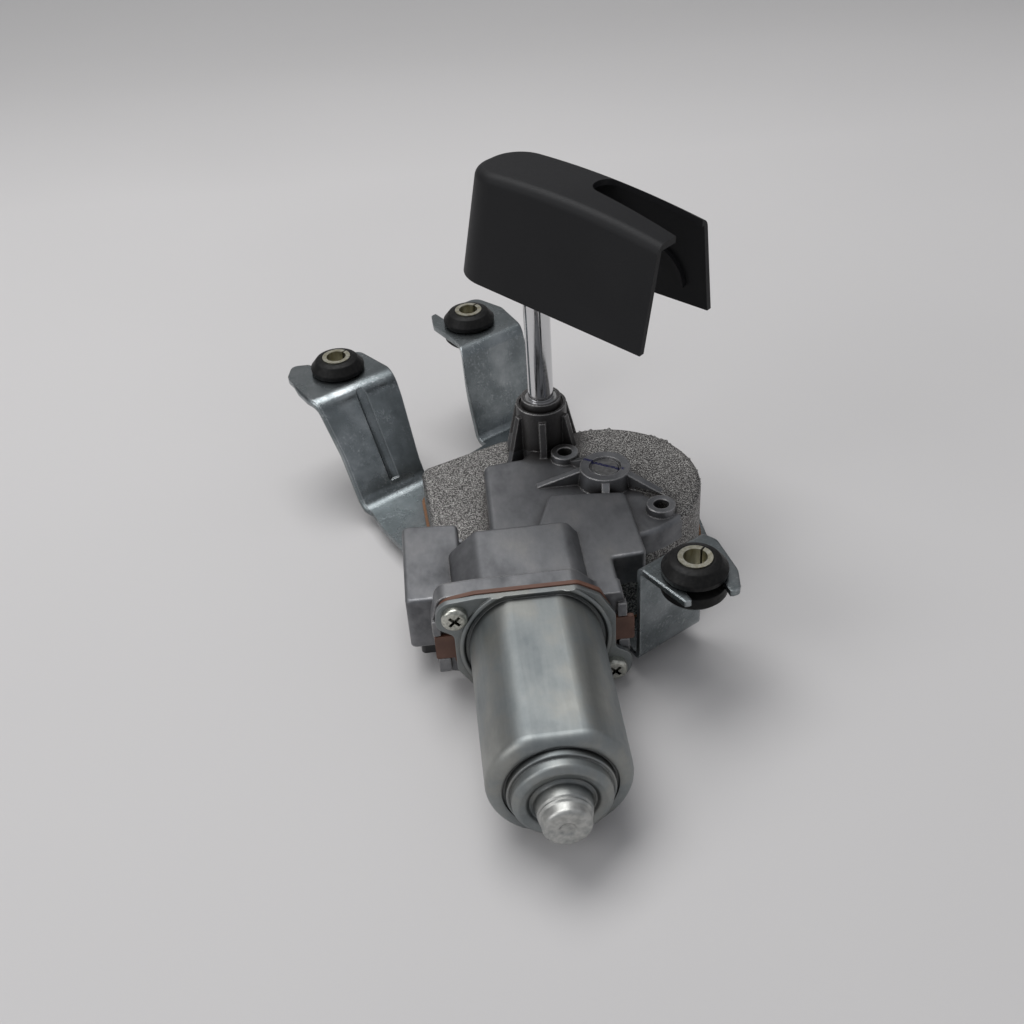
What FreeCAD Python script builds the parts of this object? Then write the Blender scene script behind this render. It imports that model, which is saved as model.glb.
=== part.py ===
import FreeCAD, Part
import math
import os

# Wiper motor of a rear window: worm gear motor with a swinging output shaft.
# Millimetres, +Z along the output shaft, motor pointing to -Y.
# Heights are first counted from the underside of the bottom plate, and each
# piece is lowered at the end so that the tower's end face lies at Z = 0.

# Heights of the gear case
SHEET = 2.0
GASKET_T = 1.0
WALL = 2.5
LOBE_ROOF = 16.0
WHEEL_ROOF = 25.5
RIDGE_TOP = 28.5
TUBE_TOP = 28.0
PIN_BOSS_TOP = 31.5
TOWER_TOP = 43.5
CASE_FOOT = SHEET + GASKET_T

# Motor axis and worm drive
MODULE = 1.0
TOOTH_TIP = 0.95
TOOTH_ROOT = 1.2
WHEEL_TEETH = 55
WORM_PITCH_R = 4.4
WORM_LENGTH = 24.0
BACKLASH = 0.35
MOTOR_Z = 15.2
WHEEL_X = 18.0
WHEEL_Y = -29.5
WHEEL_PITCH_R = WHEEL_TEETH * MODULE / 2
MOTOR_X = WHEEL_X - WHEEL_PITCH_R - WORM_PITCH_R
WHEEL_WIDTH = 8.0
WHEEL_WEB = 3.0
HUB_R = 7.0
WHEEL_PIN_R = 4.8
WHEEL_CLEARANCE = 1.55
CASE_R = WHEEL_PITCH_R + TOOTH_TIP * MODULE + WHEEL_CLEARANCE + WALL
RUNNING = 0.05
AXIAL_GAP = 0.3
WHEEL_BOTTOM = MOTOR_Z - WHEEL_WIDTH / 2
WHEEL_TOP = MOTOR_Z + WHEEL_WIDTH / 2

# Output shaft, pinion and linkage
SHAFT_R = 4.5
SHAFT_TIP = 101.0
SHAFT_FOOT = 2.6
PINION_TEETH = 18
SECTOR_TEETH = 36
PINION_R = PINION_TEETH * MODULE / 2
SECTOR_R = SECTOR_TEETH * MODULE / 2
GUIDE_ARM = PINION_R + SECTOR_R + 0.25
PARK_ANGLE = 187.0
CRANK_R = 9.0
PIVOT_R = 3.0
CRANK_PIN_R = 3.0
GUIDE_T = 1.6
LINK_T = 3.6
LINK_GAP = 0.3

# Tower
TOWER_R = 8.9
COLLAR_R = 7.0
COLLAR_H = 2.5
BUSH_R = 5.8
BUSH_LENGTH = 9.0

# Bosses on the roof
PIN_BOSS_R = 8.6
TUBE_R = 4.75
TUBE_HOLE_R = 2.6
TUBE_1 = (6.2, -13.6)
TUBE_2 = (33.5, -49.2)

# Motor
FLANGE_Y = -94.5
YOKE_R = 20.4
YOKE_FLAT = 18.2
YOKE_BLEND = 9.0
YOKE_SHOULDER = 3.6
YOKE_SHEET = 1.8
YOKE_LENGTH = 57.7
DOME_R = 15.0
CUP_R = 6.7
CUP_LENGTH = 14.0
PLATE_T = 1.6
SCREW_DX = 24.0
SCREW_DZ = 13.8
SCREW_HEAD_R = 4.0
SCREW_R = 2.4
TAB_REACH = 30.7
TAB_HALF = 4.5
FLANGE_TOP = 19.8
MAGNET_T = 3.6
AIR_GAP = 0.6
CORE_REAR_GAP = 15.0
CORE_FRONT_GAP = 10.7
CORE_SLOTS = 10
ARMATURE_SHAFT_R = 2.9
COMMUTATOR_R = 8.0
COMMUTATOR_LENGTH = 12.0

# Arms of the bracket
ARM_TURN = 31.0
TAB_TOP = 38.2
SLEEVE_TOP = 44.1
SLEEVE_R = 5.2
SLEEVE_BORE_R = 3.6
GROMMET_R = 10.0
WAIST_R = 6.8
GROMMET_1 = (-72.3, 40.9)
GROMMET_2 = (-20.6, 67.6)
GROMMET_3 = (33.9, -96.7)
GROMMET_LOWER = 5.2

# Arm cover
COVER_FRONT = 55.2
COVER_HEIGHT = 36.6
COVER_FOOT_FRONT = 20.4
COVER_FOOT_REAR = 16.4
COVER_FOOT_BACK = -24.0
COVER_TOP_FRONT = 12.4
COVER_TOP_REAR = 13.8
COVER_TOP_BACK = -21.0
COVER_CROWN_R = 300.0
COVER_CROWN_X = 5.0
COVER_WALL = 2.0
COVER_EDGE_R = 3.6
COVER_SLOPE = 2.0
COVER_FOOT = 89.6
COVER_TURN = -44.4
COVER_TILT = 3.9
COVER_ROLL = -3.2
ROOF_SLOT_X = 18.0
ROOF_SLOT_NEAR = -5.2
BEAD_R = 13.0
BEAD_H = 0.9
BEAD_W = 1.6
BEAD_FOOT = 7.0
HUB_WALL = 3.0


def vec(x, y, z=0.0):
    return FreeCAD.Vector(x, y, z)


def cylinder(x, y, z0, z1, r):
    return Part.makeCylinder(r, z1 - z0, vec(x, y, z0))


def cylinder_y(y0, y1, r, x=MOTOR_X, z=MOTOR_Z):
    return Part.makeCylinder(r, y1 - y0, vec(x, y0, z), vec(0, 1, 0))


def outline(points, radius):
    """Closed wire through the points, each corner rounded."""
    n = len(points)
    radii = radius if isinstance(radius, (list, tuple)) else [radius] * n
    starts = []
    ends = []
    mids = []
    for i in range(n):
        p = vec(*points[i])
        a = vec(*points[i - 1]) - p
        b = vec(*points[(i + 1) % n]) - p
        a.normalize()
        b.normalize()
        half = math.acos(max(-1.0, min(1.0, a.dot(b)))) / 2
        r = radii[i]
        cut = r / math.tan(half)
        bisector = a + b
        bisector.normalize()
        starts.append(p + a * cut)
        ends.append(p + b * cut)
        mids.append(p + bisector * (r / math.sin(half) - r))
    edges = []
    for i in range(n):
        if radii[i] > 0:
            edges.append(Part.Arc(starts[i], mids[i], ends[i]).toShape())
        follower = starts[(i + 1) % n]
        if (follower - ends[i]).Length > 1e-6:
            edges.append(Part.LineSegment(ends[i], follower).toShape())
    return Part.Wire(edges)


def slab(points, radius, z0, z1):
    """Flat plate or block with rounded corners."""
    face = Part.Face(outline([(x, y, z0) for x, y in points], radius))
    return face.extrude(vec(0, 0, z1 - z0))


def slab_y(points, radius, y0, y1):
    """Block along Y from a profile in X and Z about the motor axis."""
    face = Part.Face(outline([(MOTOR_X + x, y0, MOTOR_Z + z) for x, z in points], radius))
    return face.extrude(vec(0, y1 - y0, 0))


def round_edges_at(shape, z, r):
    edges = []
    for edge in shape.Edges:
        box = edge.BoundBox
        if abs(box.ZMin - z) < 1e-4 and abs(box.ZMax - z) < 1e-4:
            edges.append(edge)
    return shape.makeFillet(r, edges)


def moved(shape, x, y, z=0.0):
    copy = shape.copy()
    copy.translate(vec(x, y, z))
    return copy


def turned(shape, degrees, x=0.0, y=0.0):
    copy = shape.copy()
    copy.rotate(vec(x, y, 0), vec(0, 0, 1), degrees)
    return copy


def save(name, shapes):
    solids = []
    for shape in shapes:
        solids.extend(shape.Solids)
    if len(solids) == 1:
        result = solids[0].copy()
    else:
        result = Part.makeCompound(solids)
    result.translate(vec(0, 0, -TOWER_TOP))
    result.exportStep("parts/" + name + ".step")
    print(name, len(solids), "solids", round(result.Volume, 1), "mm3")


# Gear teeth as a closed outline, straight flanks
def gear_outline(teeth, z, first=0.0, thin=BACKLASH, part=None):
    pitch_r = teeth * MODULE / 2
    tip = pitch_r + TOOTH_TIP * MODULE
    root = pitch_r - TOOTH_ROOT * MODULE
    step = 2 * math.pi / teeth
    tooth = step / 2 - thin / pitch_r
    flank = 0.34 * MODULE
    points = []
    for i in range(teeth if part is None else part):
        middle = math.radians(first) + i * step
        low = tooth / 2 + flank / pitch_r
        high = tooth / 2 - flank / pitch_r
        for r, a in ((root, -low), (tip, -high), (tip, high), (root, low)):
            points.append(vec(r * math.cos(middle + a), r * math.sin(middle + a), z))
    return points


def polygon(points):
    return Part.makePolygon(points + [points[0]])


# Gear case, outside
RIB_TOP = TOWER_TOP - COLLAR_H - 3.0


def tower_rib(angle):
    foot = TOWER_R + 5.5
    profile = [vec(TOWER_R - 2, 0, LOBE_ROOF - 1)]
    profile.append(vec(foot, 0, LOBE_ROOF - 1))
    profile.append(vec(foot, 0, LOBE_ROOF + 4))
    profile.append(vec(TOWER_R + 1.1, 0, RIB_TOP))
    profile.append(vec(TOWER_R - 2, 0, RIB_TOP))
    rib = Part.Face(polygon(profile)).extrude(vec(0, 2.4, 0))
    rib.translate(vec(0, -1.2, 0))
    return turned(rib, angle)


LOBE = [(-45.0, 2.0), (-14.0, 15.5), (12.0, 12.5), (16.0, -30.0), (0.0, -50.0), (-42.0, -42.0)]
lobe = slab(LOBE, [5, 8, 6, 3, 3, 4], CASE_FOOT, LOBE_ROOF)
lobe = round_edges_at(lobe, LOBE_ROOF, 1.8)
wheel_case = cylinder(WHEEL_X, WHEEL_Y, CASE_FOOT, WHEEL_ROOF, CASE_R)
PLATEAU = [(-22.6, -13.0), (-2.0, -10.2), (9.0, 1.0), (20.0, -10.0), (6.0, -52.0), (-23.6, -62.0)]
plateau = slab(PLATEAU, [3, 6, 4, 2, 3, 3], CASE_FOOT, WHEEL_ROOF)
wheel_case = wheel_case.fuse(plateau).removeSplitter()
wheel_case = round_edges_at(wheel_case, WHEEL_ROOF, 1.8)

RIDGE = [(-2.4, -38.2), (22.9, -40.8), (24.1, -73.7), (13.0, -74.4)]
RIDGE = RIDGE + [(13.1, -91.1), (-10.0, -91.1), (-10.0, -60.0)]
ridge = slab(RIDGE, [2, 3, 2, 1, 0.5, 1, 1], CASE_FOOT, RIDGE_TOP)
ridge = round_edges_at(ridge, RIDGE_TOP, 1.0)

CASE_FRONT = FLANGE_Y + YOKE_SHEET + PLATE_T
NECK_BACK = -59.0
NECK = [(-15, 18), (14.5, 18), (20.5, 10), (20.5, -13), (13, -18.6), (-13, -18.6), (-24, -12), (-24, 10)]
neck = slab_y(NECK, [4, 4, 3, 4, 4, 4, 4, 4], CASE_FRONT, NECK_BACK)
neck_back_edges = []
for edge in neck.Edges:
    if abs(edge.BoundBox.YMin - NECK_BACK) < 1e-4 and edge.BoundBox.ZMax > RIDGE_TOP:
        neck_back_edges.append(edge)
neck = neck.makeFillet(1.6, neck_back_edges)

BOX_TOP = 24.0
BOX_FOOT = 5.0
BOX = [(-52.6, -41.5), (-34.0, -43.0), (-34.0, -80.0), (-52.6, -80.0)]
box = slab(BOX, 2.0, BOX_FOOT, BOX_TOP)
box = round_edges_at(box, BOX_TOP, 1.2)

LIP = [(-18, 19.2), (13.5, 19.2), (19.5, 13.3), (27.4, 13.3), (28.6, 5), (29.2, -5), (29.8, -9), (28, -18.4)]
LIP = LIP + [(17, -19.2), (-14, -19.2), (-24, -12), (-30, -10.6), (-30.6, -4), (-31.2, 8), (-28.8, 18.5)]
LIP_RADII = [3, 4, 2, 1.2, 2, 2, 2, 4, 5, 3, 3, 1.5, 2, 3, 4]
lip = slab_y(LIP, LIP_RADII, CASE_FRONT, CASE_FRONT + 6.5)

# Small cast lugs above and below each tab of the brush plate
LUG_FRONT = CASE_FRONT - PLATE_T + 0.1
LUGS = [(-31.0, -28.6, 1, 5.6), (-30.2, -26.4, -1, 5.4), (25.6, 28.4, 1, 5.0), (26.0, 29.2, -1, 3.2)]
lugs = []
for x0, x1, side, height in LUGS:
    z0 = side * (TAB_HALF + 0.3)
    z1 = side * (TAB_HALF + 0.3 + height)
    corners = [(x0, min(z0, z1)), (x1, min(z0, z1)), (x1, max(z0, z1)), (x0, max(z0, z1))]
    lugs.append(slab_y(corners, 0.5, LUG_FRONT, CASE_FRONT + 1))

housing = lobe.fuse([wheel_case, ridge, neck, box, lip] + lugs)
housing = housing.fuse(cylinder(0, 0, LOBE_ROOF - 2, TOWER_TOP - COLLAR_H, TOWER_R))
housing = housing.fuse(cylinder(0, 0, LOBE_ROOF - 2, TOWER_TOP, COLLAR_R))
collar_groove = cylinder(0, 0, TOWER_TOP - COLLAR_H - 0.8, TOWER_TOP, COLLAR_R + 0.9)
housing = housing.cut(collar_groove.cut(cylinder(0, 0, 0, TOWER_TOP, COLLAR_R)))
housing = housing.fuse([tower_rib(a) for a in (205, 265, 325, 25, 85, 145)])

boss_foot = vec(WHEEL_X, WHEEL_Y, WHEEL_ROOF - 1)
pin_boss = Part.makeCone(PIN_BOSS_R + 1.0, PIN_BOSS_R, PIN_BOSS_TOP - WHEEL_ROOF + 1, boss_foot)
tubes = []
for x, y in (TUBE_1, TUBE_2):
    tubes.append(Part.makeCone(TUBE_R + 0.7, TUBE_R, TUBE_TOP - WHEEL_ROOF + 3, vec(x, y, WHEEL_ROOF - 3)))


WEB_T = 2.6


def boss_web(angle, reach):
    profile = [vec(PIN_BOSS_R - 2, 0, WHEEL_ROOF - 1)]
    profile.append(vec(reach, 0, WHEEL_ROOF - 1))
    profile.append(vec(reach, 0, WHEEL_ROOF + 0.4))
    profile.append(vec(PIN_BOSS_R - 0.6, 0, PIN_BOSS_TOP - 0.3))
    profile.append(vec(PIN_BOSS_R - 2, 0, PIN_BOSS_TOP - 0.3))
    web = Part.Face(polygon(profile)).extrude(vec(0, WEB_T, 0))
    web.translate(vec(0, -WEB_T / 2, 0))
    return moved(turned(web, angle), WHEEL_X, WHEEL_Y)


webs = [boss_web(a, r) for a, r in ((179, 23.5), (128, 17), (262, 13), (327, 23.5))]
PIN_GROOVE_R = WHEEL_PIN_R + 0.7
pin_groove = cylinder(WHEEL_X, WHEEL_Y, PIN_BOSS_TOP - 0.8, PIN_BOSS_TOP + 1, PIN_GROOVE_R)
RIM_LUG = [(27.6, -8.2), (37.8, -10.6), (37.0, -6.6), (33.0, -3.4), (28.4, -4.2)]
RIM_LUG_TOP = WHEEL_ROOF - 0.6
rim_lug = slab(RIM_LUG, 1.2, CASE_FOOT, RIM_LUG_TOP)
rim_lug = round_edges_at(rim_lug, RIM_LUG_TOP, 0.6)
housing = housing.fuse([pin_boss, rim_lug] + tubes + webs)
housing = housing.cut(pin_groove)

# Gear case, inside
LOBE_INNER = [(-42.3, 0.6), (-13.8, 12.8), (9.6, 10.0), (13.0, -30.0), (-2.0, -46.5), (-39.5, -39.5)]
lobe_hollow = slab(LOBE_INNER, [3, 6, 4, 2, 2, 2], CASE_FOOT - 1, LOBE_ROOF - WALL)
wheel_hollow = cylinder(WHEEL_X, WHEEL_Y, CASE_FOOT - 1, WHEEL_ROOF - WALL, CASE_R - WALL)
WORM_BORE_R = WORM_PITCH_R + 2.2
WORM_END = -15.2
BRUSH_BORE_R = 16.2
BRUSH_BACK = -66.0
brush_hollow = cylinder_y(CASE_FRONT - 1, BRUSH_BACK, BRUSH_BORE_R)
BEARING_R = 5.5
BEARING_LENGTH = 6.0
bearing_seat = cylinder_y(BRUSH_BACK - 1, NECK_BACK, BEARING_R)
worm_hollow = cylinder_y(NECK_BACK, WORM_END, WORM_BORE_R)
tower_hollow = cylinder(0, 0, 0, TOWER_TOP + 1, BUSH_R)
pin_hollow = cylinder(WHEEL_X, WHEEL_Y, WHEEL_ROOF - WALL - 1, PIN_BOSS_TOP + 1, WHEEL_PIN_R)
BOX_INNER = [(-50.4, -43.7), (-36.2, -45.2), (-36.2, -77.8), (-50.4, -77.8)]
BOX_ROOF = BOX_TOP - 2.2
box_hollow = slab(BOX_INNER, 1.0, SHEET - 4, BOX_ROOF)
housing = housing.cut([lobe_hollow, wheel_hollow, worm_hollow, bearing_seat])
housing = housing.cut([brush_hollow, tower_hollow, pin_hollow, box_hollow])
screw_places = [(-SCREW_DX, SCREW_DZ), (SCREW_DX, -SCREW_DZ)]
for dx, dz in screw_places:
    hole = cylinder_y(CASE_FRONT - 1, CASE_FRONT + 8, SCREW_R, MOTOR_X + dx, MOTOR_Z + dz)
    housing = housing.cut(hole)
for x, y in (TUBE_1, TUBE_2):
    housing = housing.cut(cylinder(x, y, TUBE_TOP - 6, TUBE_TOP + 1, TUBE_HOLE_R))

# Columns that take the cover screws
COVER_SCREWS = [(-38.9, -3.2), (11.0, 9.2), (18.0, -66.0), (-36.4, -36.6)]
COLUMN_R = 3.9
COVER_SCREW_R = 2.0
for x, y in COVER_SCREWS:
    housing = housing.fuse(cylinder(x, y, CASE_FOOT, LOBE_ROOF - 1, COLUMN_R))
for x, y in COVER_SCREWS:
    housing = housing.cut(cylinder(x, y, CASE_FOOT - 1, CASE_FOOT + 9, COVER_SCREW_R))

os.makedirs("parts", exist_ok=True)
save("gear_housing", [housing])

cover_screws = []
for x, y in COVER_SCREWS:
    head = cylinder(x, y, -2.2, 0, 3.8)
    head = round_edges_at(head, -2.2, 0.8)
    cover_screws.append(head.fuse(cylinder(x, y, -1, CASE_FOOT + 8.5, COVER_SCREW_R)))
save("cover_screws", cover_screws)

# Gasket between case and plate
GASKET = [(-46.0, 2.6), (-14.4, 17.0), (13.0, 13.8), (17.0, -30.0), (0.0, -51.0), (-43.0, -43.0)]
gasket = slab(GASKET, [5, 8, 6, 3, 3, 4], SHEET, CASE_FOOT)
gasket = gasket.fuse(cylinder(WHEEL_X, WHEEL_Y, SHEET, CASE_FOOT, CASE_R + 0.8))
gasket = gasket.fuse(slab([(10, -50), (24.0, -55), (24.0, -74.0), (10, -74)], 1.5, SHEET, CASE_FOOT))
gasket = gasket.cut(slab(LOBE_INNER, [3, 6, 4, 2, 2, 2], SHEET - 1, CASE_FOOT + 1))
gasket = gasket.cut(cylinder(WHEEL_X, WHEEL_Y, SHEET - 1, CASE_FOOT + 1, CASE_R - WALL))
gasket = gasket.cut(neck)
for x, y in COVER_SCREWS:
    gasket = gasket.fuse(cylinder(x, y, SHEET, CASE_FOOT, COLUMN_R))
for x, y in COVER_SCREWS:
    gasket = gasket.cut(cylinder(x, y, SHEET - 1, CASE_FOOT + 1, COVER_SCREW_R))
save("cover_gasket", [gasket])


# Stamped bracket: flat plate with three arms
def from_arm_frame(u, n):
    a = math.radians(ARM_TURN)
    return (u * math.cos(a) + n * math.sin(a), u * math.sin(a) - n * math.cos(a))


def to_arm_frame(solid):
    """Turns X into n, Y into z and Z into u."""
    a = math.radians(ARM_TURN)
    matrix = FreeCAD.Matrix()
    matrix.A11 = math.sin(a)
    matrix.A21 = -math.cos(a)
    matrix.A31 = 0
    matrix.A12 = 0
    matrix.A22 = 0
    matrix.A32 = 1
    matrix.A13 = math.cos(a)
    matrix.A23 = math.sin(a)
    matrix.A33 = 0
    solid.transformShape(matrix)
    return solid


def strip(points, u0, u1, inner_r):
    """Sheet bent along the points (n, z), its upper side given, width along u."""
    n = len(points)
    upper = [vec(*p) for p in points]
    side = []
    for i in range(n - 1):
        d = upper[i + 1] - upper[i]
        d.normalize()
        side.append(vec(d.y, -d.x) if points[-1][0] > points[0][0] else vec(-d.y, d.x))
    lower = [upper[0] + side[0] * SHEET]
    for i in range(1, n - 1):
        bisector = side[i - 1] + side[i]
        bisector.normalize()
        lower.append(upper[i] + bisector * (SHEET / bisector.dot(side[i])))
    lower.append(upper[-1] + side[-1] * SHEET)
    radii_up = [0]
    radii_low = [0]
    for i in range(1, n - 1):
        a = upper[i] - upper[i - 1]
        b = upper[i + 1] - upper[i]
        opens_up = (a.cross(b).z > 0) == (points[-1][0] > points[0][0])
        radii_up.append(inner_r if opens_up else inner_r + SHEET)
        radii_low.append(inner_r + SHEET if opens_up else inner_r)
    ring = [(p.x, p.y) for p in upper] + [(p.x, p.y) for p in reversed(lower)]
    flat = outline(ring, radii_up + [0, 0] + list(reversed(radii_low[1:])) + [0])
    face = Part.Face(flat)
    solid = face.extrude(vec(0, 0, u1 - u0))
    solid.translate(vec(0, 0, u0))
    return to_arm_frame(solid)


def arm_slab(points, radius, z0, z1):
    return slab([from_arm_frame(u, n) for u, n in points], radius, z0, z1)


def fork_cut(centre, direction, mouth):
    x, y = centre
    cut = cylinder(x, y, TAB_TOP - 6, TAB_TOP + 4, WAIST_R)
    path = Part.makeBox(30, 2 * mouth, 10, vec(0, -mouth, TAB_TOP - 6))
    path = turned(path, direction)
    return cut.fuse(moved(path, x, y))


BEND_R = 2.5
ARM_1_FOOT = vec(-36, SHEET)
ARM_1_BEND = vec(-56.5, TAB_TOP)
arm_1 = strip([(-28, SHEET), (-36, SHEET), (-56.5, TAB_TOP), (-90, TAB_TOP)], -60, -24, 6.0)
shape_1 = [(-56.5, -20), (-56.5, -46), (-59.5, -62), (-58.5, -80), (-53, -86.5), (-47.2, -83), (-47.2, -76)]
shape_1 = shape_1 + [(-35, -76), (-34, -81), (-27.5, -79), (-25.6, -62), (-26.5, -52), (-29, -40), (-29, -20)]
arm_1 = arm_1.common(arm_slab(shape_1, [0, 8, 8, 5, 3, 2, 0.5, 0.5, 2, 4, 6, 8, 6, 0], -5, 60))

# Groove pressed into the first arm, its back stands out behind
GROOVE_R = 2.2
GROOVE_DEPTH = 1.3
GROOVE_U = -41.5
GROOVE_WALL = 1.5
groove_way = ARM_1_BEND - ARM_1_FOOT
groove_way.normalize()
groove_out = vec(groove_way.y, -groove_way.x)
groove_start = ARM_1_FOOT + groove_way * 5.0 + groove_out * (GROOVE_R - GROOVE_DEPTH) + vec(0, 0, GROOVE_U)
groove_length = (ARM_1_BEND - ARM_1_FOOT).Length - 3.0
pressed = Part.makeCylinder(GROOVE_R, groove_length, groove_start, groove_way)
swell = Part.makeCylinder(GROOVE_R + GROOVE_WALL, groove_length - 8.0, groove_start + groove_way * 1.5, groove_way)
behind = [ARM_1_FOOT, ARM_1_BEND, ARM_1_BEND - groove_out * 9, ARM_1_FOOT - groove_out * 9]
behind = Part.Face(polygon(behind)).extrude(vec(0, 0, 20))
behind.translate(vec(0, 0, GROOVE_U - 10))
arm_1 = arm_1.fuse(to_arm_frame(swell.common(behind))).cut(to_arm_frame(pressed))

arm_2 = strip([(-30, SHEET), (-43.5, SHEET), (-52.5, TAB_TOP), (-90, TAB_TOP)], -6, 40, BEND_R)
shape_2 = [(1.0, -20), (1.0, -50), (4.5, -58), (5.0, -76), (9.0, -83.5), (13, -83.5), (14, -78)]
shape_2 = shape_2 + [(21, -78), (22, -83.5), (31, -83.5), (34.2, -70), (31, -52), (31, -20)]
arm_2 = arm_2.common(arm_slab(shape_2, [0, 6, 8, 5, 2, 2, 0.5, 0.5, 1.5, 4, 6, 6, 0], -5, 60))
ARM_3_START = -32.0
ARM_3_WALL = 87.0
arm_3_path = [(60, SHEET), (ARM_3_WALL, SHEET), (ARM_3_WALL, TAB_TOP), (125, TAB_TOP)]
arm_3 = strip(arm_3_path, ARM_3_START, 20, 1.2)
shape_3 = [from_arm_frame(-28.4, 70), (18.7, -93.1), (25.2, -109.1), (30.6, -109.4), (31.0, -104.5)]
shape_3 = shape_3 + [(40.0, -101.5), (41.8, -107.2), (45.4, -106.4), (46.6, -98.0), (43.8, -83.0)]
shape_3 = shape_3 + [from_arm_frame(-7, 86.0), from_arm_frame(-7, 70)]
arm_3 = arm_3.common(slab(shape_3, [0, 1, 2, 1.5, 1, 1, 1.5, 2, 8, 3, 1, 0], -5, 60))

base = [(-46.0, -40.0), (-60.5, -13.0), from_arm_frame(-56.5, -31.0), from_arm_frame(-29.0, -31.0)]
base = base + [from_arm_frame(-26.0, -36.0), from_arm_frame(1.0, -39.5), from_arm_frame(31.0, -39.5)]
base = base + [(34.0, 8.0), (52.0, -12.0), (53.0, -46.0), (42.0, -66.0), from_arm_frame(-7.0, 82.0)]
base = base + [from_arm_frame(-29.4, 81.6), (13.6, -82.0), (12.5, -57.0), (-20.0, -57.0)]
radii = [6, 10, 0.5, 3, 4, 3, 2, 10, 12, 14, 6, 1, 1, 2, 4, 6]
bracket = slab(base, radii, 0, SHEET)
bracket = bracket.fuse([arm_1, arm_2, arm_3])
bracket = bracket.cut(fork_cut(GROMMET_1, ARM_TURN + 90, WAIST_R - 0.8))
bracket = bracket.cut(fork_cut(GROMMET_2, ARM_TURN + 90, WAIST_R - 0.8))
bracket = bracket.cut(fork_cut(GROMMET_3, -78, WAIST_R - 0.8))
for x, y in COVER_SCREWS:
    bracket = bracket.cut(cylinder(x, y, -1, SHEET + 1, COVER_SCREW_R))
save("cover_bracket", [bracket])

# Grommets and sleeves
SLIT = 0.6
grommets = []
sleeves = []
for x, y in (GROMMET_1, GROMMET_2, GROMMET_3):
    top = SLEEVE_TOP - 0.4
    low = TAB_TOP - SHEET - GROMMET_LOWER
    under = TAB_TOP - SHEET
    ring = [(SLEEVE_R, low), (GROMMET_R - 1.2, low), (GROMMET_R, low + 1.4), (GROMMET_R - 0.2, under - 0.6)]
    ring = ring + [(WAIST_R, under), (WAIST_R, TAB_TOP), (GROMMET_R - 0.2, TAB_TOP + 0.6)]
    ring = ring + [(GROMMET_R, TAB_TOP + 2.2), (GROMMET_R - 2.2, top - 0.6)]
    ring = ring + [(SLEEVE_R + 0.9, top), (SLEEVE_R, top)]
    profile = Part.Face(polygon([vec(r, 0, z) for r, z in ring]))
    grommets.append(moved(profile.revolve(vec(0, 0, 0), vec(0, 0, 1), 360), x, y))
    tube = cylinder(0, 0, low - 0.4, SLEEVE_TOP, SLEEVE_R)
    tube = tube.cut(cylinder(0, 0, low - 1, SLEEVE_TOP + 1, SLEEVE_BORE_R))
    tube = tube.cut(Part.makeBox(SLEEVE_R + 1, SLIT, SLEEVE_TOP - low + 4, vec(0, -SLIT / 2, low - 2)))
    sleeves.append(moved(turned(tube, 48), x, y))
save("rubber_grommets", grommets)
save("grommet_sleeves", sleeves)


# Worm wheel, pin and crank pin
def helical_gear(teeth, z0, z1, twist, first=0.0):
    low = polygon(gear_outline(teeth, z0, first - twist))
    high = polygon(gear_outline(teeth, z1, first + twist))
    return Part.makeLoft([low, high], True, True)


LEAD = math.pi * MODULE
LEAD_ANGLE = math.degrees(math.atan(LEAD / (2 * math.pi * WORM_PITCH_R)))
TWIST = math.degrees(WHEEL_WIDTH / 2 * math.tan(math.radians(LEAD_ANGLE)) / WHEEL_PITCH_R)
wheel = helical_gear(WHEEL_TEETH, WHEEL_BOTTOM, WHEEL_TOP, TWIST, 180.0 / WHEEL_TEETH + 180.0)
rim_r = WHEEL_PITCH_R - 4.0
recess = cylinder(0, 0, MOTOR_Z + WHEEL_WEB / 2, WHEEL_TOP + 1, rim_r).cut(cylinder(0, 0, 0, 50, HUB_R))
wheel = wheel.cut(recess)
wheel_ribs = []
for i in range(8):
    rib = Part.makeBox(rim_r - HUB_R + 1, 1.6, WHEEL_TOP - MOTOR_Z - 0.8, vec(HUB_R - 0.5, -0.8, MOTOR_Z))
    wheel_ribs.append(turned(rib, 22.5 + 45 * i))
wheel = wheel.fuse(wheel_ribs)
WO = math.hypot(WHEEL_X, WHEEL_Y)
WO_ANGLE = math.degrees(math.atan2(WHEEL_Y, WHEEL_X))
PIVOT = (GUIDE_ARM * math.cos(math.radians(PARK_ANGLE)), GUIDE_ARM * math.sin(math.radians(PARK_ANGLE)))
REACH = math.hypot(PIVOT[0] - WHEEL_X, PIVOT[1] - WHEEL_Y)
LINK_LENGTH = REACH - CRANK_R
PARK_LINE = math.degrees(math.atan2(WHEEL_Y - PIVOT[1], WHEEL_X - PIVOT[0]))
crank_x = WHEEL_X - CRANK_R * math.cos(math.radians(PARK_LINE))
crank_y = WHEEL_Y - CRANK_R * math.sin(math.radians(PARK_LINE))
CRANK = (crank_x, crank_y)
inner_reach = LINK_LENGTH - CRANK_R
opening = math.degrees(math.acos((GUIDE_ARM ** 2 + WO ** 2 - inner_reach ** 2) / (2 * GUIDE_ARM * WO)))
far_angle = WO_ANGLE % 360 - opening
GUIDE_SWING = far_angle - PARK_ANGLE
far_pivot = (GUIDE_ARM * math.cos(math.radians(far_angle)), GUIDE_ARM * math.sin(math.radians(far_angle)))
far_line = math.degrees(math.atan2(WHEEL_Y - far_pivot[1], WHEEL_X - far_pivot[0]))
LINK_SWING = far_line - PARK_LINE
MESH_RATIO = SECTOR_TEETH / PINION_TEETH
WIPE = GUIDE_SWING * (1 + MESH_RATIO) - MESH_RATIO * LINK_SWING
print("guide swing", GUIDE_SWING, "link swing", LINK_SWING, "wipe", WIPE, "pivot", PIVOT, "crank", CRANK)
wheel = moved(wheel, WHEEL_X, WHEEL_Y)
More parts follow.
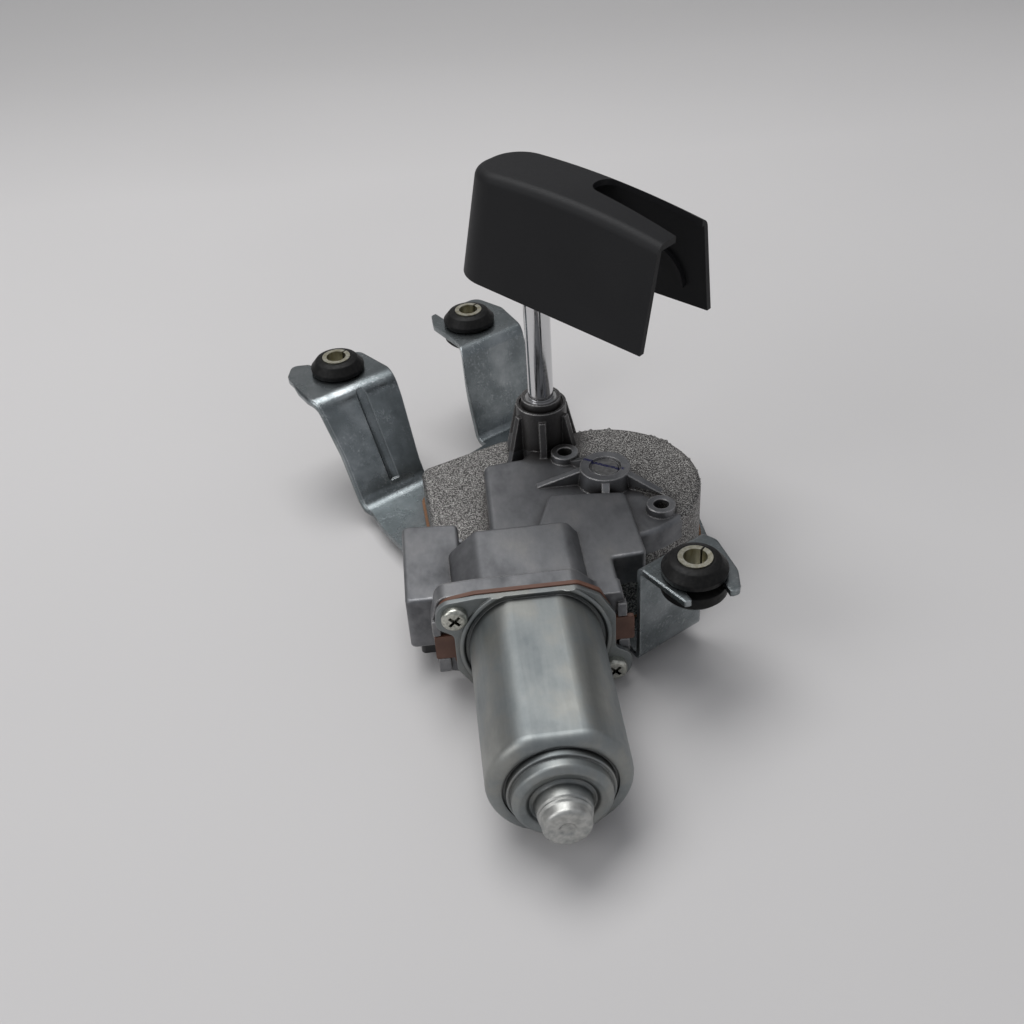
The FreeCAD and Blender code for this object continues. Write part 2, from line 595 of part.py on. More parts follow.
PIN_HEAD_Z = WHEEL_BOTTOM - 1.3
PIN_HEAD_R = CRANK_R - CRANK_PIN_R - 0.4
GUIDE_FOOT = SHAFT_FOOT
LINK_FOOT = GUIDE_FOOT + GUIDE_T + LINK_GAP
LINK_TOP = LINK_FOOT + LINK_T
crank_seat = cylinder(CRANK[0], CRANK[1], WHEEL_BOTTOM, MOTOR_Z + WHEEL_WEB / 2, CRANK_PIN_R)
crank_hub = cylinder(CRANK[0], CRANK[1], WHEEL_BOTTOM, MOTOR_Z + WHEEL_WEB / 2 + 1.5, CRANK_PIN_R + 1.6)
wheel = wheel.fuse(crank_hub)
wheel = wheel.cut(cylinder(WHEEL_X, WHEEL_Y, 0, 50, WHEEL_PIN_R + RUNNING))
wheel = wheel.cut(crank_seat)
save("worm_wheel", [wheel])
crank_pin = cylinder(CRANK[0], CRANK[1], LINK_TOP + LINK_GAP, MOTOR_Z + WHEEL_WEB / 2, CRANK_PIN_R)
save("crank_pin", [crank_pin])

wheel_pin = cylinder(WHEEL_X, WHEEL_Y, PIN_HEAD_Z, PIN_BOSS_TOP - 0.6, WHEEL_PIN_R)
wheel_pin = wheel_pin.fuse(cylinder(WHEEL_X, WHEEL_Y, PIN_HEAD_Z, WHEEL_BOTTOM - AXIAL_GAP, PIN_HEAD_R))
wheel_pin = round_edges_at(wheel_pin, PIN_BOSS_TOP - 0.6, 0.5)
save("wheel_pin", [wheel_pin])
thrust_washer = cylinder(WHEEL_X, WHEEL_Y, WHEEL_TOP + AXIAL_GAP, WHEEL_ROOF - WALL, WHEEL_PIN_R + 3.0)
thrust_washer = thrust_washer.cut(cylinder(WHEEL_X, WHEEL_Y, 0, 50, WHEEL_PIN_R))
save("wheel_washer", [thrust_washer])

# Output shaft with pinion, guide plate and sector link
CLIP_GROOVE_R = 3.9
CLIP_R = 5.6
CLIP_T = 0.8
CLIP_Z = TOWER_TOP - 1.0
THREAD_R = 3.6
TAPER_LENGTH = 5.0
THREAD_LENGTH = 9.0
taper_z = SHAFT_TIP - THREAD_LENGTH - TAPER_LENGTH
shaft_profile = [(0, SHAFT_FOOT), (SHAFT_R - 0.5, SHAFT_FOOT), (SHAFT_R, SHAFT_FOOT + 0.5)]
shaft_profile = shaft_profile + [(SHAFT_R, taper_z), (SHAFT_R - 0.7, taper_z + TAPER_LENGTH)]
shaft_profile = shaft_profile + [(THREAD_R, taper_z + TAPER_LENGTH)]
shaft_profile = shaft_profile + [(THREAD_R, SHAFT_TIP - 0.8), (THREAD_R - 0.8, SHAFT_TIP), (0, SHAFT_TIP)]
shaft_face = Part.Face(polygon([vec(r, 0, z) for r, z in shaft_profile]))
output_shaft = shaft_face.revolve(vec(0, 0, 0), vec(0, 0, 1), 360)
clip_groove = cylinder(0, 0, CLIP_Z - RUNNING, TOWER_TOP - RUNNING, SHAFT_R + 1)
clip_groove = clip_groove.cut(cylinder(0, 0, 0, 60, CLIP_GROOVE_R))
output_shaft = output_shaft.cut(clip_groove)
save("output_shaft", [output_shaft])

PINION_TOP = LINK_TOP + 0.8
pinion_phase = PARK_ANGLE + 180.0 / PINION_TEETH
pinion_face = Part.Face(polygon(gear_outline(PINION_TEETH, LINK_FOOT, pinion_phase)))
pinion = pinion_face.extrude(vec(0, 0, PINION_TOP - LINK_FOOT))
pinion = pinion.cut(cylinder(0, 0, 0, 50, SHAFT_R))
save("output_pinion", [pinion])

GUIDE_W = 7.0
guide = cylinder(0, 0, GUIDE_FOOT, GUIDE_FOOT + GUIDE_T, GUIDE_W)
guide = guide.fuse(cylinder(PIVOT[0], PIVOT[1], GUIDE_FOOT, GUIDE_FOOT + GUIDE_T, PIVOT_R + 2.2))
strap = Part.makeBox(GUIDE_ARM, 8.0, GUIDE_T, vec(0, -4.0, GUIDE_FOOT))
guide = guide.fuse(turned(strap, PARK_ANGLE))
guide = guide.cut(cylinder(0, 0, 0, 50, SHAFT_R + RUNNING))
guide = guide.cut(cylinder(PIVOT[0], PIVOT[1], 0, 50, PIVOT_R))
save("guide_plate", [guide])
pivot_pin = cylinder(PIVOT[0], PIVOT[1], GUIDE_FOOT, LINK_TOP + 0.3, PIVOT_R)
pivot_pin = pivot_pin.fuse(cylinder(PIVOT[0], PIVOT[1], LINK_TOP + 0.3, LINK_TOP + 1.3, PIVOT_R + 1.0))
save("pivot_pin", [pivot_pin])

# Sector with the teeth that the swing uses, counted from the park line of centres
SECTOR_COUNT = 6
sector_step = 360.0 / SECTOR_TEETH
first_tooth = PARK_ANGLE - 180.0 - sector_step
teeth = gear_outline(SECTOR_TEETH, LINK_FOOT, first_tooth, BACKLASH, SECTOR_COUNT)
sector_face = Part.Face(polygon([vec(0, 0, LINK_FOOT)] + teeth))
sector = sector_face.extrude(vec(0, 0, LINK_T))
sector = moved(sector, PIVOT[0], PIVOT[1])
boss = cylinder(PIVOT[0], PIVOT[1], LINK_FOOT, LINK_TOP, PIVOT_R + 3.0)
far_boss = cylinder(CRANK[0], CRANK[1], LINK_FOOT, LINK_TOP, CRANK_PIN_R + 3.0)
bar = Part.makeBox(LINK_LENGTH, 8.0, LINK_T, vec(0, -4.0, LINK_FOOT))
bar = moved(turned(bar, PARK_LINE), PIVOT[0], PIVOT[1])
sector_link = sector.fuse([boss, far_boss, bar])
sector_link = sector_link.cut(cylinder(PIVOT[0], PIVOT[1], 0, 50, PIVOT_R + RUNNING))
sector_link = sector_link.cut(cylinder(CRANK[0], CRANK[1], 0, 50, CRANK_PIN_R + RUNNING))
save("sector_link", [sector_link])

# Bushes, washer and seal of the output shaft
SEAL_H = 2.2
seal_top = CLIP_Z - 0.2
bushes = []
for z in (LOBE_ROOF - WALL + 0.5, seal_top - SEAL_H - BUSH_LENGTH):
    bush = cylinder(0, 0, z, z + BUSH_LENGTH, BUSH_R)
    bushes.append(bush.cut(cylinder(0, 0, 0, 60, SHAFT_R + RUNNING)))
save("tower_bushes", bushes)
washer_top = LOBE_ROOF - WALL
washer = cylinder(0, 0, washer_top - 0.8, washer_top, SHAFT_R + 1.1)
washer = washer.cut(cylinder(0, 0, 0, 50, SHAFT_R + RUNNING))
save("shaft_washer", [washer])
seal = cylinder(0, 0, seal_top - SEAL_H, seal_top, BUSH_R)
seal = seal.cut(cylinder(0, 0, 0, 60, SHAFT_R + RUNNING))
save("shaft_seal", [seal])

# Clip in the groove at the top of the tower, open on one side
clip = cylinder(0, 0, CLIP_Z, CLIP_Z + CLIP_T, CLIP_R).cut(cylinder(0, 0, 0, 60, CLIP_GROOVE_R + RUNNING))
clip_mouth = Part.makeBox(2 * CLIP_R, 1.6 * CLIP_GROOVE_R, 4, vec(0, -0.8 * CLIP_GROOVE_R, CLIP_Z - 1))
save("shaft_clip", [clip.cut(turned(clip_mouth, 60))])

# Yoke: drawn can with two flats, flange, stepped end and bearing cup
YOKE_END = FLANGE_Y - YOKE_LENGTH


def double_d(r, flat, y0, y1):
    round_bar = cylinder_y(y0, y1, r)
    block = Part.makeBox(2 * r + 4, y1 - y0, 2 * flat, vec(MOTOR_X - r - 2, y0, MOTOR_Z - flat))
    return round_bar.common(block)


def around_motor_axis(profile, radii=0):
    face = Part.Face(outline([(MOTOR_X + r, y, MOTOR_Z) for r, y in profile], radii))
    return face.revolve(vec(MOTOR_X, 0, MOTOR_Z), vec(0, 1, 0), 360)


can = double_d(YOKE_R, YOKE_FLAT, YOKE_END, FLANGE_Y + YOKE_SHEET)
long_edges = []
for edge in can.Edges:
    if edge.BoundBox.YLength > YOKE_LENGTH and edge.BoundBox.ZLength < 1e-4:
        long_edges.append(edge)
can = can.makeFillet(YOKE_BLEND, long_edges)
end_edges = []
for edge in can.Edges:
    if abs(edge.BoundBox.YMin - YOKE_END) < 1e-4 and edge.BoundBox.YLength < 1e-4:
        end_edges.append(edge)
can = can.makeFillet(YOKE_SHOULDER, end_edges)
FLANGE_HALF = [(-17, FLANGE_TOP), (13.3, FLANGE_TOP), (20, 15.6), (24.6, 8), (24.6, -6)]
FLANGE_HALF = FLANGE_HALF + [(30, -9.6), (29, -18.5)]
FLANGE = FLANGE_HALF + [(-x, -z) for x, z in FLANGE_HALF]
FLANGE_RADII = [3, 4, 4, 3, 2.5, 4, 5] * 2
flange = slab_y(FLANGE, FLANGE_RADII, FLANGE_Y, FLANGE_Y + YOKE_SHEET)
bead_edge = slab_y(FLANGE, FLANGE_RADII, FLANGE_Y - 2, FLANGE_Y + 1)
flange_bead = [(YOKE_R - 1, FLANGE_Y + 0.5), (YOKE_R + 3.0, FLANGE_Y + 0.5), (YOKE_R + 3.0, FLANGE_Y - 0.8)]
flange_bead = flange_bead + [(YOKE_R + 1.7, FLANGE_Y - 1.0), (YOKE_R + 1.1, FLANGE_Y - 0.2)]
flange_bead = flange_bead + [(YOKE_R - 1, FLANGE_Y - 0.2)]
flange_bead = around_motor_axis(flange_bead, [0, 0, 0.5, 0.6, 0.3, 0]).common(bead_edge)
cup_tip = YOKE_END - CUP_LENGTH
DOME_LAND = DOME_R - CUP_R
dome = [(0, 2), (DOME_R + 1.0, 2), (DOME_R + 1.0, 0.8), (DOME_R, 0.8), (DOME_R, -1.6), (DOME_R - 0.7, -1.7)]
dome = dome + [(DOME_R - 1.0, -1.0), (DOME_R - 1.2, -4.4), (CUP_R + 0.66 * DOME_LAND, -5.8)]
dome = dome + [(CUP_R + 0.41 * DOME_LAND, -5.4), (CUP_R + 0.28 * DOME_LAND, -4.4)]
dome = dome + [(CUP_R + 0.17 * DOME_LAND, -5.2), (CUP_R + 0.9, -8.6)]
dome = dome + [(CUP_R + 0.5, -9.2), (CUP_R + 0.7, -9.6), (CUP_R + 0.2, -10.4)]
dome = dome + [(CUP_R, -CUP_LENGTH), (2.6, -CUP_LENGTH), (1.8, 0.5 - CUP_LENGTH), (0, 0.5 - CUP_LENGTH)]
DOME_RADII = [0, 0, 0, 0.2, 0.3, 0.2, 0.2, 1.4, 0.9, 1.2, 0.4, 0.8, 0.2, 0.1, 0.1, 0.3, 1.4, 0.3, 0.2, 0]
dome = around_motor_axis([(r, YOKE_END + y) for r, y in dome], DOME_RADII)
groove = [(DOME_R, YOKE_END - 3), (DOME_R + 1.0, YOKE_END - 3)]
groove = groove + [(DOME_R + 1.0, YOKE_END + 0.8), (DOME_R, YOKE_END + 0.8)]
yoke = can.cut(around_motor_axis(groove)).fuse([dome, flange_bead, flange])
inner_end = YOKE_END + YOKE_SHEET + 1.0
CUP_WALL = 1.4
REAR_BUSH_R = CUP_R - CUP_WALL
yoke = yoke.cut(double_d(YOKE_R - YOKE_SHEET, YOKE_FLAT - YOKE_SHEET, inner_end, FLANGE_Y + YOKE_SHEET + 1))
cup_inner = [(0, inner_end + 1), (DOME_R - 3.0, inner_end + 1), (DOME_R - 4.0, YOKE_END - 1.5)]
cup_inner = cup_inner + [(REAR_BUSH_R, YOKE_END - 3.0), (REAR_BUSH_R, cup_tip + CUP_WALL)]
cup_inner = cup_inner + [(0, cup_tip + CUP_WALL)]
yoke = yoke.cut(around_motor_axis(cup_inner))
for dx, dz in screw_places:
    yoke = yoke.cut(cylinder_y(FLANGE_Y - 1, FLANGE_Y + 3, SCREW_R, MOTOR_X + dx, MOTOR_Z + dz))
save("motor_yoke", [yoke])

# Screws of the flange
HEAD_H = 2.6
flange_screws = []
for dx, dz in screw_places:
    x = MOTOR_X + dx
    z = MOTOR_Z + dz
    head = cylinder_y(FLANGE_Y - HEAD_H, FLANGE_Y, SCREW_HEAD_R, x, z)
    front = [e for e in head.Edges if abs(e.BoundBox.YMax - (FLANGE_Y - HEAD_H)) < 1e-4]
    head = head.makeFillet(1.2, front)
    for angle in (45, 135):
        slot = Part.makeBox(4.4, 1.6, 1.0, vec(x - 2.2, FLANGE_Y - HEAD_H, z - 0.5))
        slot.rotate(vec(x, 0, z), vec(0, 1, 0), angle)
        head = head.cut(slot)
    flange_screws.append(head.fuse(cylinder_y(FLANGE_Y - 0.5, CASE_FRONT + 7.5, SCREW_R, x, z)))
save("flange_screws", flange_screws)

# Phenolic brush plate with two tabs
BRUSH_SIDE = 25.0
BRUSH_HALF = [(-17.4, FLANGE_TOP + 0.4), (13.6, FLANGE_TOP + 0.4), (20.4, 16.0), (BRUSH_SIDE, TAB_HALF + 1)]
BRUSH_HALF = BRUSH_HALF + [(BRUSH_SIDE, TAB_HALF), (TAB_REACH, TAB_HALF)]
BRUSH_HALF = BRUSH_HALF + [(TAB_REACH, -TAB_HALF), (BRUSH_SIDE, -TAB_HALF)]
BRUSH_EAR = [(BRUSH_SIDE, -7.0), (29.0, -10.2), (28.4, -18.2)]
BRUSH_SHAPE = BRUSH_HALF + BRUSH_EAR
BRUSH_OUT = BRUSH_SHAPE + [(-x, -z) for x, z in BRUSH_SHAPE]
BRUSH_RADII = [3, 4, 3, 0.3, 0.3, 0.8, 0.8, 0.3, 0.3, 3, 5] * 2
brush_plate = slab_y(BRUSH_OUT, BRUSH_RADII, FLANGE_Y + YOKE_SHEET, CASE_FRONT)
brush_plate = brush_plate.cut(cylinder_y(FLANGE_Y, CASE_FRONT + 1, COMMUTATOR_R + 2.5))
for dx, dz in screw_places:
    brush_plate = brush_plate.cut(cylinder_y(FLANGE_Y, CASE_FRONT + 1, SCREW_R, MOTOR_X + dx, MOTOR_Z + dz))
save("brush_plate", [brush_plate])

# Armature: shaft with rolled worm, core, windings and commutator
CORE_R = YOKE_R - YOKE_SHEET - MAGNET_T - AIR_GAP
CORE_Y0 = YOKE_END + CORE_REAR_GAP
CORE_Y1 = FLANGE_Y - CORE_FRONT_GAP
CORE_LENGTH = CORE_Y1 - CORE_Y0
SHAFT_Y0 = cup_tip + CUP_WALL + 1.2
SHAFT_Y1 = WORM_END - 1.2
worm_y0 = WHEEL_Y - WORM_LENGTH / 2
worm_y1 = WHEEL_Y + WORM_LENGTH / 2
WORM_ROOT_R = WORM_PITCH_R - TOOTH_ROOT * MODULE
WORM_TIP_R = WORM_PITCH_R + TOOTH_TIP * MODULE
armature_shaft = cylinder_y(SHAFT_Y0, SHAFT_Y1, ARMATURE_SHAFT_R)
armature_shaft = armature_shaft.fuse(cylinder_y(worm_y0 - 1, worm_y1 + 1, WORM_ROOT_R))
sunk = WORM_ROOT_R - 0.2
half_tip = LEAD / 4 - 0.34 * MODULE - 0.1
half_root = LEAD / 4 + 0.34 * MODULE + 0.02
helix = Part.makeHelix(LEAD, WORM_LENGTH - 2 * half_root, WORM_PITCH_R)
thread_points = [(sunk, -half_root), (WORM_TIP_R, -half_tip), (WORM_TIP_R, half_tip), (sunk, half_root)]
thread_profile = polygon([vec(r, 0, z) for r, z in thread_points])
thread = Part.Wire(helix.Edges).makePipeShell([thread_profile], True, True)
thread.rotate(vec(0, 0, 0), vec(1, 0, 0), -90)
thread.rotate(vec(0, 0, 0), vec(0, 1, 0), -360.0 * (WORM_LENGTH / 2 - half_root) / LEAD)
thread.translate(vec(MOTOR_X, worm_y0 + half_root, MOTOR_Z))
armature_shaft = armature_shaft.fuse(thread)
save("armature_shaft", [armature_shaft])

core = cylinder_y(CORE_Y0, CORE_Y1, CORE_R)
SLOT_R = 9.0
CORE_SLOT_W = 1.6
for i in range(CORE_SLOTS):
    slot_foot = vec(MOTOR_X + SLOT_R, CORE_Y0 - 1, MOTOR_Z - CORE_SLOT_W / 2)
    slot = Part.makeBox(CORE_R - SLOT_R + 2, CORE_LENGTH + 2, CORE_SLOT_W, slot_foot)
    slot.rotate(vec(MOTOR_X, 0, MOTOR_Z), vec(0, 1, 0), 360.0 / CORE_SLOTS * i)
    core = core.cut(slot)
core = core.cut(cylinder_y(CORE_Y0 - 1, CORE_Y1 + 1, ARMATURE_SHAFT_R))
save("armature_core", [core])

WINDING_R = CORE_R - 1.2
windings = []
for y0, y1 in ((CORE_Y0 - 6.0, CORE_Y0), (CORE_Y1, CORE_Y1 + 6.0)):
    outer = y0 if y1 == CORE_Y0 else y1
    inner = y1 if y1 == CORE_Y0 else y0
    step = (inner - outer) / 6.0
    ring = [(ARMATURE_SHAFT_R + 1.5, inner), (WINDING_R, inner), (WINDING_R, outer + 2.5 * step)]
    ring = ring + [(WINDING_R - 1.8, outer + 0.6 * step), (WINDING_R - 4.0, outer)]
    ring = ring + [(ARMATURE_SHAFT_R + 3.0, outer), (ARMATURE_SHAFT_R + 1.5, outer + 1.5 * step)]
    windings.append(around_motor_axis(ring))
save("armature_winding", windings)

BAR_GAP = 0.5
COM_BORE_R = ARMATURE_SHAFT_R + 1.6
COM_Y0 = CORE_Y1 + 8.0
COM_Y1 = COM_Y0 + COMMUTATOR_LENGTH
commutator = cylinder_y(COM_Y0, COM_Y1, COMMUTATOR_R)
commutator = commutator.fuse(cylinder_y(COM_Y0, COM_Y0 + 1.6, COMMUTATOR_R + 1.4))
commutator = commutator.cut(cylinder_y(COM_Y0 - 1, COM_Y1 + 1, COM_BORE_R))
for i in range(CORE_SLOTS):
    gap_foot = vec(MOTOR_X + COMMUTATOR_R - 1.0, COM_Y0 - 1, MOTOR_Z - BAR_GAP / 2)
    gap = Part.makeBox(3.0, COMMUTATOR_LENGTH + 2, BAR_GAP, gap_foot)
    gap.rotate(vec(MOTOR_X, 0, MOTOR_Z), vec(0, 1, 0), 360.0 / CORE_SLOTS * i)
    commutator = commutator.cut(gap)
hub = cylinder_y(COM_Y0, COM_Y1 + 1.5, COM_BORE_R)
hub = hub.cut(cylinder_y(COM_Y0 - 1, COM_Y1 + 3, ARMATURE_SHAFT_R))
save("commutator", [commutator])
save("commutator_hub", [hub])

# Magnets on the round sides of the yoke
MAGNET_SPAN = 100.0
magnets = []
for side in (0.0, 180.0):
    shell = cylinder_y(CORE_Y0 - 1, CORE_Y1 + 1, YOKE_R - YOKE_SHEET)
    shell = shell.cut(cylinder_y(CORE_Y0 - 2, CORE_Y1 + 2, CORE_R + AIR_GAP))
    a = math.radians(MAGNET_SPAN / 2)
    far = 40.0
    wedge = [(0, 0), (far, far * math.tan(a)), (far, -far * math.tan(a))]
    keep = slab_y(wedge, 0, CORE_Y0 - 1, CORE_Y1 + 1)
    magnet = shell.common(keep)
    magnet.rotate(vec(MOTOR_X, 0, MOTOR_Z), vec(0, 1, 0), side)
    magnets.append(magnet)
save("field_magnets", magnets)

# Bearings of the armature
front_bearing = cylinder_y(BRUSH_BACK + 0.2, BRUSH_BACK + 0.2 + BEARING_LENGTH, BEARING_R)
front_bearing = front_bearing.cut(cylinder_y(BRUSH_BACK - 1, NECK_BACK + 1, ARMATURE_SHAFT_R + RUNNING))
save("front_bearing", [front_bearing])
rear_bearing = cylinder_y(cup_tip + CUP_WALL + 1.6, cup_tip + CUP_WALL + 7.6, REAR_BUSH_R)
rear_bearing = rear_bearing.cut(cylinder_y(cup_tip, YOKE_END, ARMATURE_SHAFT_R + RUNNING))
save("rear_bearing", [rear_bearing])
pads = [cylinder_y(cup_tip + CUP_WALL, SHAFT_Y0 - 0.15, 3.6), cylinder_y(SHAFT_Y1 + 0.15, WORM_END, 3.6)]
save("thrust_pads", pads)

# Brushes in their boxes, pressed on the commutator by springs
BRUSH_W = 5.0
BRUSH_L = 6.0
BRUSH_TIP = COMMUTATOR_R + 0.1
BOX_WALL = 0.7
SPRING_R = 1.6
SPRING_LENGTH = 1.6
brush_y0 = CASE_FRONT + 1.0
brushes = []
holders = []
springs = []
brush_x = MOTOR_X + BRUSH_TIP - 0.8
holder_x = MOTOR_X + BRUSH_TIP + 1.2
holder_w = BRUSH_W + 2 * BOX_WALL
for side in (0.0, 180.0):
    brush = Part.makeBox(BRUSH_L, BRUSH_W, BRUSH_W, vec(brush_x, brush_y0, MOTOR_Z - BRUSH_W / 2))
    brush = brush.cut(cylinder_y(brush_y0 - 1, brush_y0 + BRUSH_W + 1, BRUSH_TIP))
    holder_foot = vec(holder_x, brush_y0 - BOX_WALL, MOTOR_Z - holder_w / 2)
    holder = Part.makeBox(BRUSH_L, holder_w, holder_w, holder_foot)
    holder = holder.cut(Part.makeBox(40, BRUSH_W, BRUSH_W, vec(MOTOR_X, brush_y0, MOTOR_Z - BRUSH_W / 2)))
    foot = Part.makeBox(BRUSH_L, 1.0 - BOX_WALL, 12.0, vec(holder_x, CASE_FRONT, MOTOR_Z - 6.0))
    holder = holder.fuse(foot)
    spring_foot = vec(brush_x + BRUSH_L, brush_y0 + BRUSH_W / 2, MOTOR_Z)
    spring = Part.makeCylinder(SPRING_R, SPRING_LENGTH, spring_foot, vec(1, 0, 0))
    for shape, group in ((brush, brushes), (holder, holders), (spring, springs)):
        shape.rotate(vec(MOTOR_X, 0, MOTOR_Z), vec(0, 1, 0), side)
        group.append(shape)
save("carbon_brushes", brushes)
save("brush_holders", holders)
save("brush_springs", springs)

# Connector under the cast box
CON_X0 = -49.6
CON_X1 = -37.0
CON_Y0 = -77.0
CON_Y1 = -50.0
CON_FOOT = -1.0
CON_WALL = 1.2


def connector_outline(inset):
    x0 = CON_X0 + inset
    x1 = CON_X1 - inset
    y0 = CON_Y0 + inset
    y1 = CON_Y1 - inset
    return [(x0, y0), (x1, y0), (x1, y1), (x0, y1)]


connector = slab(connector_outline(0), 1.5, CON_FOOT, BOX_ROOF)
well = slab(connector_outline(CON_WALL), 0.8, CON_FOOT - 1, CON_FOOT + 14.0)
connector = connector.cut(well)
pins = []
for y in (-71.0, -66.0, -61.0, -56.0):
    pins.append(Part.makeBox(0.8, 2.2, 11.0, vec((CON_X0 + CON_X1) / 2 - 0.4, y - 1.1, CON_FOOT + 6.0)))
for pin in pins:
    connector = connector.cut(pin)
save("connector", [connector])
save("connector_pins", pins)

# Contact fingers of the park switch
CONTACT_R = CASE_R - WALL - 7.7
CONTACT_ANGLE = math.radians(-40.5)
CONTACT = (WHEEL_X + CONTACT_R * math.cos(CONTACT_ANGLE), WHEEL_Y + CONTACT_R * math.sin(CONTACT_ANGLE))
contact_base = Part.makeBox(12.0, 8.0, 3.0, vec(CONTACT[0] - 6, CONTACT[1] - 4, SHEET))
save("contact_base", [contact_base])
fingers = []
for dy in (-2.6, 0.0, 2.6):
    side = [vec(0, 0, 0), vec(0, 0, 0.4), vec(3.8, 0, 0.4), vec(8.8, 0, 5.0), vec(11.0, 0, 5.9)]
    side = side + [vec(11.0, 0, 5.5), vec(9.0, 0, 4.6), vec(4.0, 0, 0)]
    finger = Part.Face(polygon(side)).extrude(vec(0, 1.4, 0))
    finger.rotate(vec(0, 0, 0), vec(0, 0, 1), 180)
    fingers.append(moved(finger, CONTACT[0] + 5.5, CONTACT[1] + dy + 0.7, SHEET + 3.0))
save("park_contacts", fingers)

# Arm cover: shell with a rounded back, open below and in front, slot in the roof
def cover_wire(inset, front, z):
    rise = z / COVER_HEIGHT
    half_front = COVER_FOOT_FRONT + (COVER_TOP_FRONT - COVER_FOOT_FRONT) * rise - inset
    half_rear = COVER_FOOT_REAR + (COVER_TOP_REAR - COVER_FOOT_REAR) * rise - inset
    back = COVER_FOOT_BACK + (COVER_TOP_BACK - COVER_FOOT_BACK) * rise + inset
    points = [(front, -half_front, z), (front, half_front, z), (back, half_rear, z), (back, -half_rear, z)]
    corner = half_rear - 2.0
    return outline(points, [0, 0, corner, corner])


def cover_block(inset, front, z0, z1):
    block = Part.makeLoft([cover_wire(inset, front, z0), cover_wire(inset, front, z1)], True, True)
    crown_r = COVER_CROWN_R - inset
    crown_z = COVER_HEIGHT - COVER_CROWN_R
    crown = Part.makeCylinder(crown_r, 100, vec(COVER_CROWN_X, -50, crown_z), vec(0, 1, 0))
    return block.common(crown)


cover = cover_block(0, COVER_FRONT, 0, COVER_HEIGHT + 2)
roof_edges = []
for edge in cover.Edges:
    level = (edge.BoundBox.ZMin + edge.BoundBox.ZMax) / 2
    if level > COVER_HEIGHT - 8 and edge.BoundBox.XLength > 1 and edge.BoundBox.ZLength < 8:
        roof_edges.append(edge)
cover = cover.makeFillet(COVER_EDGE_R, roof_edges)
beyond = COVER_FRONT + 5
cover_front = [(COVER_FRONT - COVER_SLOPE, COVER_HEIGHT + 1), (beyond, COVER_HEIGHT + 1)]
cover_front = cover_front + [(beyond, -1), (COVER_FRONT, -1)]
cover_front = Part.Face(polygon([vec(x, -COVER_FRONT, z) for x, z in cover_front]))
cover = cover.cut(cover_front.extrude(vec(0, 2 * COVER_FRONT, 0)))
cover = cover.cut(cover_block(COVER_WALL, beyond, -1, COVER_HEIGHT + 2))
slot_far = COVER_TOP_FRONT - COVER_WALL
roof_slot = [(beyond, ROOF_SLOT_NEAR), (beyond, slot_far)]
roof_slot = roof_slot + [(ROOF_SLOT_X, slot_far + 0.8), (ROOF_SLOT_X, ROOF_SLOT_NEAR + 5.5)]
roof_slot = slab(roof_slot, [0, 0, 5, 5], COVER_HEIGHT - 8, COVER_HEIGHT + 2)
cover = cover.cut(roof_slot)
draft = math.degrees(math.atan((COVER_FOOT_FRONT - COVER_TOP_FRONT) / COVER_HEIGHT))
bead_depth = COVER_WALL + BEAD_H
bead = cylinder(0, 0, 0, bead_depth, BEAD_R).cut(cylinder(0, 0, -1, bead_depth + 1, BEAD_R - BEAD_W))
bead = bead.common(Part.makeBox(2 * BEAD_R, BEAD_R, 9, vec(-BEAD_R, 0, 0)))
bead.rotate(vec(0, 0, 0), vec(1, 0, 0), 90 + draft * 0.9)
bead_y = COVER_FOOT_FRONT + (COVER_TOP_FRONT - COVER_FOOT_FRONT) * BEAD_FOOT / COVER_HEIGHT - 1.2
cover = cover.fuse(moved(bead, COVER_FRONT - BEAD_R - 8, bead_y, BEAD_FOOT))
cover.rotate(vec(0, 0, 0), vec(1, 0, 0), COVER_ROLL)
cover.rotate(vec(0, 0, 0), vec(0, 1, 0), COVER_TILT)
cover = moved(turned(cover, COVER_TURN), 0, 0, COVER_FOOT)
hub_foot = SHAFT_TIP - THREAD_LENGTH + 1.0
hub = cylinder(0, 0, hub_foot, COVER_FOOT + COVER_HEIGHT - COVER_WALL + 0.5, THREAD_R + HUB_WALL)
hub = hub.cut(cylinder(0, 0, hub_foot - 1, SHAFT_TIP + AXIAL_GAP, THREAD_R + RUNNING))
save("arm_cover", [cover.fuse(hub)])
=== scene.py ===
# %% [markdown]
# # Wiper motor: dressing the solids
# The solids of the motor come packed as one frame, in metres, with the output
# shaft along +Z and the motor's can towards -Y. This script gives each piece its
# finish, adds the small forms that the solids do not carry, and sets up a camera,
# a floor and soft lamps. Each step starts with a short text like this one.

# %% Load the solids and keep their box
import math
import bpy
import bmesh
from mathutils import Matrix, Vector, noise


